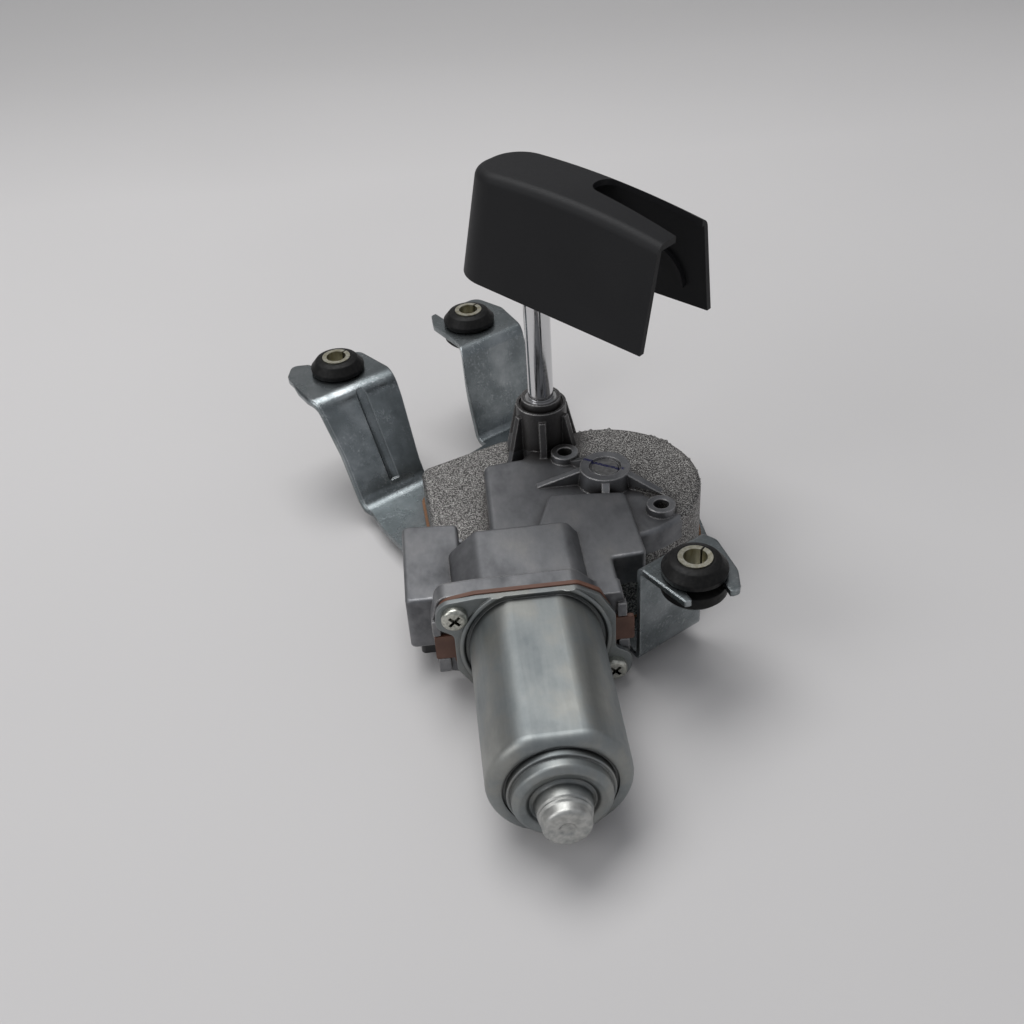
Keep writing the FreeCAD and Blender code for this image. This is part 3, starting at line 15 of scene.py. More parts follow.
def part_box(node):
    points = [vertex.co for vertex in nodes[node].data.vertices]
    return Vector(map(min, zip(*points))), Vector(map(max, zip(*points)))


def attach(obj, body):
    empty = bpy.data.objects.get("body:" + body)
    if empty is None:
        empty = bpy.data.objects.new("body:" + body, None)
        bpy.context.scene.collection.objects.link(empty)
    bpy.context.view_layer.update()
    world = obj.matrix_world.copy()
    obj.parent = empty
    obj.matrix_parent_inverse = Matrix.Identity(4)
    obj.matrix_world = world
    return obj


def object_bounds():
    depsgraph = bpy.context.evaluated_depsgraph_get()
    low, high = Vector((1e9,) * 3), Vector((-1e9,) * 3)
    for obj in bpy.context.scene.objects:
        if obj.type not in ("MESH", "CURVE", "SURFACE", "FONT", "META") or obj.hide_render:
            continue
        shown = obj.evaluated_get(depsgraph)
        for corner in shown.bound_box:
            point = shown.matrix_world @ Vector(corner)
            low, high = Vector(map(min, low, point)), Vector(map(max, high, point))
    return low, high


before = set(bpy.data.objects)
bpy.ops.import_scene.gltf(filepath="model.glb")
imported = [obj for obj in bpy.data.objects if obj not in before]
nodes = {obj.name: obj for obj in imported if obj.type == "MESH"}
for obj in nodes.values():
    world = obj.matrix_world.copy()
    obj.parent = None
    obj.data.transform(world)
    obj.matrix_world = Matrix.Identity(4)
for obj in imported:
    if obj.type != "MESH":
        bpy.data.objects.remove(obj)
solid_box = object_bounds()


def short(corner):
    """A corner of a box with few digits, for printing."""
    return [round(v, 4) for v in corner]


print("nodes:", len(nodes), "box:", short(solid_box[0]), short(solid_box[1]))

# %% [markdown]
# ## Camera
# The view looks down on the motor from in front of its can. A camera is a place,
# a direction and a focal length. It could be aimed with a constraint that tracks
# a point, but then a small roll is hard to give. Here the direction is written as
# three turns (yaw, pitch, roll), because they can be read off and changed one by
# one, and the matrix is then built from the three axes of the picture.

# %% Place the camera
YAW = math.radians(3.408)
PITCH = math.radians(37.296)
ROLL = math.radians(3.962)
CAMERA_PLACE = (-0.03517, -0.37398, 0.23542)
LENS_MM = 44.10
NEAREST_SEEN = 0.01
FARTHEST_SEEN = 20

forward = Vector((math.sin(YAW) * math.cos(PITCH), math.cos(YAW) * math.cos(PITCH),
                  -math.sin(PITCH)))
level_right = Vector((math.cos(YAW), -math.sin(YAW), 0))
level_down = forward.cross(level_right)
picture_right = level_right * math.cos(ROLL) + level_down * math.sin(ROLL)
picture_down = level_down * math.cos(ROLL) - level_right * math.sin(ROLL)

camera_data = bpy.data.cameras.new("camera")
camera_data.lens = LENS_MM
camera_data.clip_start = NEAREST_SEEN
camera_data.clip_end = FARTHEST_SEEN
camera = bpy.data.objects.new("camera", camera_data)
bpy.context.scene.collection.objects.link(camera)
turn = Matrix((picture_right, -picture_down, -forward)).transposed().to_4x4()
camera.matrix_world = Matrix.Translation(CAMERA_PLACE) @ turn
bpy.context.scene.camera = camera
bpy.context.scene.view_settings.view_transform = "Standard"
print("camera lens", round(camera_data.lens, 2), "mm")

# %% [markdown]
# ## Floor and backdrop
# The motor stands on a pale grey sweep, a floor that curves up far behind it. Two
# planes would do, but they meet in a hard line. A sweep is one profile of points
# pushed sideways, so floor and wall are one smooth surface. The bend is far away,
# and the slightly darker band along the top of the picture is painted shade on the
# paper.

# %% Build the sweep
FLOOR_DROP = 0.0002
FLOOR_Z = solid_box[0][2] - FLOOR_DROP
SWEEP_FRONT = -7.0
SWEEP_DEPTH = 1.1
SWEEP_RISE = 1.6
SWEEP_BEND = 0.55
SWEEP_HALF_WIDTH = 5.0


def sweep_profile(front, depth, rise, bend, steps=16):
    """Points of Y and Z: level from the front, a quarter turn, then straight up."""
    points = [(front, 0.0), (depth - bend, 0.0)]
    for i in range(1, steps + 1):
        a = math.radians(90) * i / steps
        points.append((depth - bend + bend * math.sin(a), bend - bend * math.cos(a)))
    points.append((depth, rise))
    return points


def build_sweep(name, profile, half_width):
    """The profile pushed sideways to both sides of the middle."""
    mesh = bpy.data.meshes.new(name)
    corners = []
    faces = []
    for y, z in profile:
        corners.append((-half_width, y, FLOOR_Z + z))
        corners.append((half_width, y, FLOOR_Z + z))
    for i in range(len(profile) - 1):
        faces.append((2 * i, 2 * i + 1, 2 * i + 3, 2 * i + 2))
    mesh.from_pydata(corners, [], faces)
    for face in mesh.polygons:
        face.use_smooth = True
    sweep = bpy.data.objects.new(name, mesh)
    bpy.context.scene.collection.objects.link(sweep)
    return sweep


profile = sweep_profile(SWEEP_FRONT, SWEEP_DEPTH, SWEEP_RISE, SWEEP_BEND)
sweep = build_sweep("floor_sweep", profile, SWEEP_HALF_WIDTH)
print("floor at", round(FLOOR_Z, 4), "m")

# %% [markdown]
# ## A material as a graph of nodes
# A finish is a small graph of nodes. Painted pictures would need the pieces to be
# unwrapped first. Nodes can work from the object's own coordinates instead, which
# are metres in the frame of the solids, so a grain of half a millimetre has the
# same size on every piece. The helpers grow in four steps, each class adding to the
# one before. This first one holds the material and gives it places to measure from.

# %% A material, its shader and its coordinates
MM = 0.001


class NodeGraph:
    """One material with its node tree, its shader and its coordinates."""

    def __init__(self, name, colour, metal, rough):
        self.material = bpy.data.materials.new(name)
        self.material.use_nodes = True
        self.tree = self.material.node_tree
        self.shader = self.tree.nodes["Principled BSDF"]
        self.shader.inputs["Base Color"].default_value = (*colour, 1)
        self.shader.inputs["Metallic"].default_value = metal
        self.shader.inputs["Roughness"].default_value = rough
        self.place = self.tree.nodes.new("ShaderNodeTexCoord").outputs["Object"]

    def add(self, kind, **settings):
        """A new node of that kind, with its settings."""
        node = self.tree.nodes.new("ShaderNode" + kind)
        for key, value in settings.items():
            setattr(node, key, value)
        return node

    def link(self, source, target):
        self.tree.links.new(source, target)

    def stretched(self, scale=(1, 1, 1), offset=(0, 0, 0)):
        """The object's coordinates in millimetres, each axis scaled."""
        node = self.add("Mapping")
        node.inputs["Scale"].default_value = [1000 * s for s in scale]
        node.inputs["Location"].default_value = offset
        self.link(self.place, node.inputs["Vector"])
        return node.outputs["Vector"]

    def axes(self, offset=(0, 0, 0)):
        """The three coordinates in millimetres, each as a socket of its own."""
        node = self.add("SeparateXYZ")
        self.link(self.stretched(offset=offset), node.inputs["Vector"])
        return node.outputs


print("one millimetre is", MM, "m")

# %% [markdown]
# ### Patterns and mixes
# Metal, plastic and rubber are never one even tone. A noise gives a cloudy grey
# pattern, a ramp turns its grey into tones, and a mix lays one tone over another by
# a share from 0 to 1. These three make most of the surface here, and each helper
# returns the socket that the next node needs, so they can be nested.

# %% Noise, ramp and mix
MIX_SHARE, MIX_FIRST, MIX_SECOND, MIX_COLOUR = 0, 6, 7, 2  # the Mix node's colour sockets


class PatternGraph(NodeGraph):
    """A material graph that can also make patterns and mix them."""

    def noise(self, scale, detail=2.0, stretch=(1, 1, 1), rough=0.5, offset=(0, 0, 0)):
        """Cloudy grey pattern; scale is the number of clouds per millimetre.

        A stretch below 1 draws the clouds out along that axis, one above 1 squeezes them.
        """
        node = self.add("TexNoise")
        node.inputs["Scale"].default_value = scale
        node.inputs["Detail"].default_value = detail
        node.inputs["Roughness"].default_value = rough
        self.link(self.stretched(stretch, offset), node.inputs["Vector"])
        return node.outputs["Fac"]

    def ramp(self, source, stops):
        """Maps a grey value to colours; stops are (place, colour or grey)."""
        node = self.add("ValToRGB")
        elements = node.color_ramp.elements
        while len(elements) < len(stops):
            elements.new(0.5)
        for element, (place, colour) in zip(elements, stops):
            if not isinstance(colour, tuple):
                colour = (colour, colour, colour)
            element.position = place
            element.color = (*colour, 1)
        self.link(source, node.inputs["Fac"])
        return node.outputs["Color"]

    def mix(self, share, first, second):
        """Mixes two colours; share is 0 to 1, a number or a socket."""
        node = self.add("Mix", data_type="RGBA")
        for i, value in ((MIX_SHARE, share), (MIX_FIRST, first), (MIX_SECOND, second)):
            if isinstance(value, (int, float)):
                node.inputs[i].default_value = value
            elif isinstance(value, tuple):
                node.inputs[i].default_value = (*value, 1)
            else:
                self.link(value, node.inputs[i])
        return node.outputs[MIX_COLOUR]


print("patterns:", "noise, ramp, mix")

# %% [markdown]
# ### Sums and masks
# A mask is a grey value that says where something shows: 1 on that place and 0
# elsewhere. Vertex groups could do that too, but they need a dense mesh. A mask
# made by sums from a point's coordinates is sharp on any mesh, and its border can be
# moved by changing one number. Two masks multiplied give the place that both cover.

# %% Sums and masks
class MaskGraph(PatternGraph):
    """A pattern graph that can also calculate masks from places."""

    def maths(self, operation, a, b=None, clamp=False):
        """One sum of numbers or sockets."""
        node = self.add("Math", operation=operation, use_clamp=clamp)
        for i, value in enumerate((a, b)):
            if value is None:
                continue
            if isinstance(value, (int, float)):
                node.inputs[i].default_value = value
            else:
                self.link(value, node.inputs[i])
        return node.outputs["Value"]

    def blend_axes(self, axes, share_x, share_y):
        """The distance along a level direction, from X and Y."""
        return self.maths("ADD", self.maths("MULTIPLY", axes["X"], share_x),
                          self.maths("MULTIPLY", axes["Y"], share_y))

    def off_axis(self):
        """The distance from the output shaft's axis in millimetres."""
        node = self.add("VectorMath", operation="LENGTH")
        self.link(self.stretched(scale=(1, 1, 0)), node.inputs[0])
        return node.outputs["Value"]

    def all_of(self, first, *others):
        """1 where every mask is 1."""
        for mask in others:
            first = self.maths("MULTIPLY", first, mask)
        return first


print("masks:", "maths, blend_axes, off_axis, all_of")

# %% [markdown]
# ### Edges, corners and relief
# Wear and painted highlights go on edges, and painted shade goes in corners. A bevel
# modifier would round the edges, but it would change the solids. The Bevel node only
# bends the normal for the light, and it is also the measure for an edge: there the
# bent normal turns away from the face's own. The Ambient Occlusion node measures how
# open a point is.

# %% Edges, corners and relief
class Finish(MaskGraph):
    """A mask graph that can also find edges and corners and feed the shader."""

    def soft_edges(self, radius_mm):
        """Bends the normal near an edge, so that a sharp edge catches light."""
        bevel = self.add("Bevel", samples=4)
        bevel.inputs["Radius"].default_value = radius_mm / 1000
        self.softened = bevel.outputs["Normal"]
        self.link(self.softened, self.shader.inputs["Normal"])

    def edge_line(self, low, high):
        """1 along edges and 0 on faces; soft_edges comes before it."""
        turned = self.add("VectorMath", operation="DOT_PRODUCT")
        self.link(self.softened, turned.inputs[0])
        self.link(self.add("NewGeometry").outputs["Normal"], turned.inputs[1])
        turned_away = self.maths("SUBTRACT", 1.0, turned.outputs["Value"])
        return self.ramp(turned_away, [(low, 0.0), (high, 1.0)])

    def openness(self, reach_mm, low, high):
        """0 in corners and 1 in the open, judged within that reach."""
        shade = self.add("AmbientOcclusion", samples=4, only_local=True)
        shade.inputs["Distance"].default_value = reach_mm / 1000
        return self.ramp(shade.outputs["AO"], [(low, 0.0), (high, 1.0)])

    def bump(self, height, strength, distance_mm):
        """Relief in the light only, on top of the relief that is there."""
        node = self.add("Bump")
        node.inputs["Strength"].default_value = strength
        node.inputs["Distance"].default_value = distance_mm / 1000
        self.link(height, node.inputs["Height"])
        if self.shader.inputs["Normal"].is_linked:
            below = self.shader.inputs["Normal"].links[0].from_socket
            self.link(below, node.inputs["Normal"])
        self.link(node.outputs["Normal"], self.shader.inputs["Normal"])

    def colour(self, source):
        self.link(source, self.shader.inputs["Base Color"])

    def rough(self, source):
        self.link(source, self.shader.inputs["Roughness"])


print("finish:", "soft_edges, edge_line, openness, bump, colour, rough")

# %% [markdown]
# ## Dressing a node
# A solid comes with a material slot of its own. The finish could be set on the mesh,
# but meshes of the frame are not to be changed. The finish could be set on the mesh;
# instead the slot is linked to the object and the finish is put there, which leaves
# the mesh as it was. Most tones are neutral, so a helper writes a grey as one number.

# %% Greys and dressing
def grey(value, warm=0.0):
    """A grey of that linear value, warmer above 0 and cooler below."""
    return (value * (1 + warm), value, value * (1 - warm))


def dress(finish, *names):
    """Puts the finish on every face of these nodes."""
    for name in names:
        mesh_object = nodes[name]
        if not mesh_object.material_slots:
            mesh_object.data.materials.append(finish.material)
        for material_slot in mesh_object.material_slots:
            material_slot.link = "OBJECT"
            material_slot.material = finish.material
    print(finish.material.name, "on", len(names), "nodes")


print("a middle grey:", grey(0.20))

# %% [markdown]
# ## Floor paper
# The floor is matte paper in a neutral grey. The lamps fall off behind the motor,
# and shade is painted into the paper's colour there too, so the picture gets a calm
# dark band along its top. A second plane or a lamp with an edge could give that band.
# A ramp over the paper's own Y coordinate paints it instead, which is simpler and
# stays put in every view.

# %% Finish the sweep
PAPER_GREY = (0.588, 0.575, 0.570)
FAR_PAINTED_SHADE = (0.335, 0.330, 0.328)
CLOUD_SHADE = 0.965
BAND_NEAR = 330.0
BAND_FAR = 800.0

paper = Finish("floor_paper", PAPER_GREY, metal=0.0, rough=0.85)
paper_cloud = paper.mix(paper.ramp(paper.noise(0.004, detail=2.0), [(0.3, 0.0), (0.7, 1.0)]),
                        tuple(CLOUD_SHADE * v for v in PAPER_GREY), PAPER_GREY)
past_near = paper.maths("SUBTRACT", paper.axes()["Y"], BAND_NEAR)
far_share = paper.maths("DIVIDE", past_near, BAND_FAR - BAND_NEAR, clamp=True)
# painted shade: the paper's colour darkens towards the back, standing in for the lamps' falloff
band = paper.ramp(far_share, [(0.0, 0.0), (0.35, 0.32), (1.0, 1.0)])
paper.colour(paper.mix(band, paper_cloud, FAR_PAINTED_SHADE))
sweep.data.materials.append(paper.material)
print("floor finish", paper.material.name)

# %% [markdown]
# ## Ink stripe
# A worker draws a blue line over the wheel's pin and its boss, to show that the pin
# is pressed home. It could be a thin mesh that lies on the metal, but it crosses two
# pieces and would stand proud of both. So both finishes ask the same question, how
# far a point is from one line, and use the answer as a mask. A noise makes the edge
# of the line ragged, as a felt pen does.

# %% Ink stripe across the wheel pin and its boss
INK_BLUE = (0.022, 0.024, 0.105)
INK_START = (10.4, -23.4)
INK_ALONG = (0.84, -0.54)
INK_LENGTH = 16.4
INK_HALF_WIDTH = 0.62
INK_RAGGED = 0.5
INK_LOWEST = -13.4


def ink_stripe(finish):
    """1 on the stripe that a worker draws over pin and case, 0 elsewhere."""
    axes = finish.axes(offset=(-INK_START[0], -INK_START[1], 0))
    along = finish.blend_axes(axes, INK_ALONG[0], INK_ALONG[1])
    beside = finish.blend_axes(axes, INK_ALONG[1], -INK_ALONG[0])
    ragged = finish.maths("MULTIPLY", finish.noise(0.9, detail=3.0), INK_RAGGED)
    away = finish.maths("ADD", finish.maths("ABSOLUTE", beside), ragged)
    near = finish.maths("LESS_THAN", away, INK_HALF_WIDTH + INK_RAGGED / 2)
    begun = finish.maths("GREATER_THAN", along, 0.0)
    ended = finish.maths("LESS_THAN", along, INK_LENGTH)
    upper = finish.maths("GREATER_THAN", axes["Z"], INK_LOWEST)
    inked = finish.all_of(near, upper, begun, ended)
    thin_places = finish.ramp(finish.noise(1.3, detail=3.0), [(0.36, 0.2), (0.5, 0.92)])
    return finish.maths("MULTIPLY", inked, thin_places)


print("ink stripe", INK_LENGTH, "mm long")

# %% [markdown]
# ## Cast gear case
# The case is die-cast aluminium. Some faces came out of the mould smooth, others
# carry the mould's blasted skin, which looks like fine dark sand with bright
# specks. Two materials on two sets of faces would end at a face's edge. Masks from
# the place of a point can end in a soft, wavy line in the middle of a face, so this
# is one material. It starts with the noises that both skins use.

# %% Cast aluminium and its noises
WOBBLE_MM = 7.0

cast = Finish("cast_aluminium", grey(0.20), metal=0.85, rough=0.45)
cast.soft_edges(0.8)
sand_grain = cast.noise(2.1, detail=2.0, rough=0.55)
sand_cloud = cast.noise(0.22, detail=3.0)
skin_grain = cast.noise(2.6, detail=4.0, rough=0.6)
flow_marks = cast.noise(0.085, detail=4.0, stretch=(1, 0.55, 1), rough=0.62)
place_mm = cast.axes()
wobble_noise = cast.maths("SUBTRACT", cast.noise(0.35, detail=3.0), 0.5)
wobble = cast.maths("MULTIPLY", wobble_noise, WOBBLE_MM)
print("borders of the skins waver within", WOBBLE_MM, "mm")

# %% [markdown]
# ### Where the skin is sandy
# The blasted skin covers the wheel's roof and wall, and the low ledge left of the
# smooth plateau. The lip at the front and the box over the plug are smooth again.
# Each border could be drawn by hand in a painted mask; here it is one comparison of
# a coordinate with a number in millimetres, which can be read off the solids.

# %% Where the skin is sandy and where it is smooth
LEDGE_TOP = -26.6
LIP_BACK = -80.0
BOX_EDGE = -33.0
BOX_BACK = -41.0
ROOF_TOP = -16.6
ROOF_SIDE = -1.5
ROOF_WAY = (0.79, 0.61)
HEIGHT_WOBBLE = 0.1

rough_top = cast.maths("ADD", place_mm["Z"], cast.maths("MULTIPLY", wobble, HEIGHT_WOBBLE))
off_the_box = cast.maths("MAXIMUM", cast.maths("GREATER_THAN", place_mm["X"], BOX_EDGE),
                         cast.maths("GREATER_THAN", place_mm["Y"], BOX_BACK))
behind_lip = cast.maths("GREATER_THAN", place_mm["Y"], LIP_BACK)
ledge = cast.all_of(cast.maths("LESS_THAN", rough_top, LEDGE_TOP), behind_lip, off_the_box)
towards_roof = cast.maths("ADD", cast.blend_axes(place_mm, ROOF_WAY[0], ROOF_WAY[1]), wobble)
low_enough = cast.maths("LESS_THAN", place_mm["Z"], ROOF_TOP)
wheel_roof = cast.all_of(cast.maths("GREATER_THAN", towards_roof, ROOF_SIDE), low_enough,
                         behind_lip)
sandy = cast.maths("MAXIMUM", ledge, wheel_roof)
print("sandy below", ROOF_TOP, "mm on the wheel's roof and", LEDGE_TOP, "mm on the ledge")

# %% [markdown]
# ### Tones of the two skins
# The smooth skin has broad, soft clouds, where the metal flowed and cooled. The
# sandy skin is dark between its grains and bright on top of them, so its tone comes
# from the same noise as its relief. Were the two noises different, the bright
# specks would sit beside the grains, and the skin would look printed.

# %% Tones of the cast
SMOOTH_TONES = [(0.28, (0.098, 0.100, 0.106)), (0.50, (0.185, 0.188, 0.196)),
                (0.62, (0.228, 0.229, 0.235)), (0.78, (0.30, 0.298, 0.295))]
SAND_TONES = [(0.40, (0.050, 0.047, 0.045)), (0.50, (0.160, 0.153, 0.148)),
              (0.58, (0.46, 0.45, 0.43))]
SAND_SHADOW = (0.10, 0.095, 0.093)

smooth_tone = cast.ramp(flow_marks, SMOOTH_TONES)
sand_specks = cast.ramp(sand_grain, SAND_TONES)
sand_tone = cast.mix(cast.ramp(sand_cloud, [(0.3, 0.35), (0.7, 0.0)]), sand_specks, SAND_SHADOW)
skin_tone = cast.mix(sandy, smooth_tone, sand_tone)
print("smooth skin has", len(SMOOTH_TONES), "tones, sandy skin", len(SAND_TONES))

# %% [markdown]
# ### Dirt, painted shade and bright edges
# Handling rubs the outer edges bright, and the pale edges are also partly a painted
# highlight, where a sharp edge would catch the light. The corners are darkened as
# painted shade. The shaft tower keeps more of the grease and dust that runs down the
# shaft, so it is darkened by its distance from the shaft's axis. A measure taken at
# the mesh's corners would smear over large flat faces; the edge and corner measures
# of the two nodes do not, because they are taken at every point that is seen.

# %% Dirt, painted shade in corners, and rubbed edges with painted highlights of the cast
TOWER_REACH = 17.0
TOWER_FOOT = -18.5
TOWER_DIRT = (0.082, 0.078, 0.076)
CORNER_PAINTED_SHADE = (0.045, 0.041, 0.039)
RUBBED_METAL_AND_HIGHLIGHT = (0.58, 0.57, 0.56)

# pale edges: partly rubbed wear, partly a painted highlight along the open edges
rubbed_and_highlight = cast.maths("MULTIPLY", cast.edge_line(0.015, 0.16),
                    cast.ramp(skin_grain, [(0.40, 0.25), (0.60, 1.0)]))
tower_share = cast.ramp(cast.maths("DIVIDE", cast.off_axis(), TOWER_REACH),
                        [(0.80, 1.0), (1.0, 0.0)])
tower_dirt = cast.all_of(tower_share, cast.maths("GREATER_THAN", place_mm["Z"], TOWER_FOOT),
                         cast.ramp(skin_grain, [(0.35, 1.0), (0.65, 0.7)]))
dirty_skin = cast.mix(tower_dirt, skin_tone, TOWER_DIRT)
# painted shade: corners and recesses of the cast are darkened by the corner measure
skin_with_painted_shade = cast.mix(cast.openness(5.0, 0.35, 0.92), CORNER_PAINTED_SHADE, dirty_skin)
open_rubbed_and_highlight = cast.maths("MULTIPLY", rubbed_and_highlight, cast.openness(2.0, 0.55, 0.85))
cast_skin = cast.mix(open_rubbed_and_highlight, skin_with_painted_shade, RUBBED_METAL_AND_HIGHLIGHT)
cast.colour(cast.mix(ink_stripe(cast), cast_skin, INK_BLUE))
print("tower dirt within", TOWER_REACH, "mm of the axis")

# %% [markdown]
# ### Gloss and relief of the cast
# The top of a sand grain is burnished and the hollow beside it is not, so gloss
# follows the grain too. The relief is two bumps, one on the other: the sand, strong
# on the sandy skin and faint on the smooth one, and a fine grain everywhere.
# Displacing the mesh would cost a hundred times the faces for the same picture.

# %% Gloss and relief of the cast
SAND_ON_SMOOTH = 0.10
SAND_ON_SANDY = 0.85

smooth_gloss = cast.ramp(flow_marks, [(0.3, 0.52), (0.7, 0.36)])
cast.rough(cast.mix(sandy, smooth_gloss, cast.ramp(sand_grain, [(0.35, 0.60), (0.65, 0.36)])))
sand_depth = cast.maths("ADD", cast.maths("MULTIPLY", sandy, SAND_ON_SANDY), SAND_ON_SMOOTH)
cast.bump(cast.maths("MULTIPLY", sand_grain, sand_depth), strength=0.85, distance_mm=0.34)
cast.bump(skin_grain, strength=0.22, distance_mm=0.10)
dress(cast, "gear_housing")

# %% [markdown]
# ## Rings of points into a skin
# Two small forms come now that the solids do not have: a ridge of flash and a
# curled rim. Both are long and thin, so both are made in one way: a closed ring of
# points is set up at each step along a line, and neighbouring rings are joined by
# quads. A curve with a bevel would be shorter to write, but it can't change its
# section from step to step.

# %% Skin over rings, and placing a piece on a body
def skin_over(name, rings):
    """A closed mesh over rings with the same number of points each, in millimetres."""
    mesh_maker = bmesh.new()
    made = [[mesh_maker.verts.new([v * MM for v in point]) for point in ring] for ring in rings]
    count = len(rings[0])
    for ring, after in zip(made, made[1:]):
        for i in range(count):
            j = (i + 1) % count
            mesh_maker.faces.new((ring[i], ring[j], after[j], after[i]))
    mesh_maker.faces.new(made[0][::-1])
    mesh_maker.faces.new(made[-1])
    bmesh.ops.recalc_face_normals(mesh_maker, faces=mesh_maker.faces)
    mesh = bpy.data.meshes.new(name)
    mesh_maker.to_mesh(mesh)
    mesh_maker.free()
    for face in mesh.polygons:
        face.use_smooth = True
    piece = bpy.data.objects.new(name, mesh)
    bpy.context.scene.collection.objects.link(piece)
    return piece


def fix_on(piece, body, finish):
    """Lets the piece ride on a body and gives it a finish."""
    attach(piece, body)
    piece.data.materials.append(finish.material)
    print(piece.name, "on", body, "faces", len(piece.data.polygons))


print("helpers:", "skin_over, fix_on")

# %% [markdown]
# ## Flash on the wheel case
# Where the two halves of the casting mould meet, a little metal creeps out and
# stands as an uneven ridge along the rim. A bump in the material couldn't break the
# outline, so it is a thin mesh. It follows a circle round the wheel's pin, whose
# place is read from the frame, and its height comes from a noise of the angle, so it
# is the same in every run.

# %% Where the rim of the wheel case runs
CASE_R = 32.5
RIM_ROUNDING = 1.8
ROOF_UNDER_PIN = 6.0

pin_low, pin_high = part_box("wheel_pin")
wheel_x = (pin_low[0] + pin_high[0]) / 2 / MM
wheel_y = (pin_low[1] + pin_high[1]) / 2 / MM
roof_z = pin_high[2] / MM - ROOF_UNDER_PIN
corner_cut = RIM_ROUNDING * (1 - math.sqrt(0.5))
print("wheel axis at", round(wheel_x, 2), round(wheel_y, 2), "roof at", round(roof_z, 2))

# %% [markdown]
# Each ring of the flash has five points: two feet that are sunk in the casting, two
# shoulders and a crest. The crest leans to one side or the other, as torn metal
# does, and between two bumps it almost goes down to the rim.

# %% Flash along the rim
FLASH_FROM = 98
FLASH_TO = -42
FLASH_STEPS = 280
FLASH_FOOT = 0.55
FLASH_SUNK = 0.4
FLASH_LEAST = 0.20
FLASH_BUMPS = 1.35
FLASH_SWAY = 0.25
SHOULDER_HEIGHT = 0.6
SHOULDER_HALF_WIDTH = 0.22


def flash_ring(degrees):
    """Five points round the flash at that angle of the rim."""
    a = math.radians(degrees)
    outward = Vector((math.cos(a), math.sin(a), 1)).normalized()
    rim_r = CASE_R - corner_cut
    foot = Vector((wheel_x + rim_r * math.cos(a), wheel_y + rim_r * math.sin(a),
                   roof_z - corner_cut))
    across = Vector((math.cos(a), math.sin(a), -1)).normalized()
    broad_bumps = noise.noise(Vector((degrees / 7.0, 0.4, 0)))
    fine_bumps = noise.noise(Vector((degrees / 2.1, 3.7, 0)))
    rise = FLASH_LEAST + FLASH_BUMPS * max(0.0, broad_bumps + 0.5 * fine_bumps)
    sway = FLASH_SWAY * noise.noise(Vector((degrees / 4.0, 8.2, 0)))
    sunk = outward * -FLASH_SUNK
    shoulder = outward * rise * SHOULDER_HEIGHT
    return [foot + sunk - across * FLASH_FOOT,
            foot + shoulder + across * (sway - SHOULDER_HALF_WIDTH),
            foot + outward * rise + across * sway,
            foot + shoulder + across * (sway + SHOULDER_HALF_WIDTH),
            foot + sunk + across * FLASH_FOOT]


flash_angles = [FLASH_FROM + (FLASH_TO - FLASH_FROM) * i / FLASH_STEPS
                for i in range(FLASH_STEPS + 1)]
flash = skin_over("case_flash", [flash_ring(angle) for angle in flash_angles])
fix_on(flash, "case", cast)

# %% [markdown]
# ## Zinc-plated bracket
# The bracket is steel sheet with bright zinc on it. Zinc is a bluish metal, fairly
# smooth on the flats, with fine sparkles where the sheet was stretched in a bend and
# a few dull clouds where the bath ran off. Sheared edges look paler, and their pale
# tone is partly a painted highlight; corners get painted shade. A flat tone with one
# gloss would look like plastic, so one broad noise makes the clouds and one fine
# noise the sparkles.

# %% Zinc on the bracket
ZINC_TONES = [(0.30, (0.125, 0.142, 0.148)), (0.52, (0.215, 0.240, 0.248)),
              (0.75, (0.36, 0.385, 0.395))]
ZINC_SPARKLE = (0.60, 0.63, 0.64)
ZINC_PAINTED_SHADE = (0.075, 0.080, 0.082)
ZINC_EDGE_AND_HIGHLIGHT = (0.62, 0.65, 0.66)
ZINC_EDGE_AND_HIGHLIGHT_SHARE = 0.6

zinc = Finish("zinc_sheet", (0.27, 0.30, 0.31), metal=0.95, rough=0.33)
zinc.soft_edges(0.9)
zinc_cloud = zinc.noise(0.07, detail=4.0, rough=0.55)
zinc_grain = zinc.noise(1.1, detail=4.0, rough=0.6)
zinc_tone = zinc.ramp(zinc_cloud, ZINC_TONES)
sparkles = zinc.ramp(zinc_grain, [(0.52, 0.0), (0.70, 0.5)])
sparkle_places = zinc.ramp(zinc.noise(0.12, detail=2.0, offset=(7, 3, 1)),
                           [(0.45, 0.1), (0.62, 1.0)])
sparkling = zinc.mix(zinc.maths("MULTIPLY", sparkles, sparkle_places), zinc_tone, ZINC_SPARKLE)
# painted shade: corners of the bracket are darkened by the corner measure
shaded = zinc.mix(zinc.openness(4.0, 0.30, 0.95), ZINC_PAINTED_SHADE, sparkling)
# pale edges: partly sheared edge, partly a painted highlight along the edges
pale_edges_and_highlight = zinc.maths("MULTIPLY", zinc.edge_line(0.02, 0.25), ZINC_EDGE_AND_HIGHLIGHT_SHARE)
zinc.colour(zinc.mix(pale_edges_and_highlight, shaded, ZINC_EDGE_AND_HIGHLIGHT))
zinc.rough(zinc.ramp(zinc_cloud, [(0.30, 0.36), (0.70, 0.20)]))
zinc.bump(zinc_grain, strength=0.22, distance_mm=0.12)
zinc.bump(zinc_cloud, strength=0.15, distance_mm=0.8)
dress(zinc, "cover_bracket")

# %% [markdown]
# ## Curled rim of the first arm
# The outer edge of the first arm is curled down, which makes the arm stiff. The
# curl follows the arm: along the base, up the slope and out on the tab. Its line
# could be drawn in the frame's X and Y, but every bend would then need three
# numbers. It is written in the arm's own directions, outwards and up, and its two
# bends are rounded with a curve through three points.

# %% The line of the curl
SHEET_BENDS = [(-29.0, -41.5), (-36.0, -41.5), (-56.5, -5.3), (-77.0, -5.3)]
BEND_REACH = [3.5, 4.7]


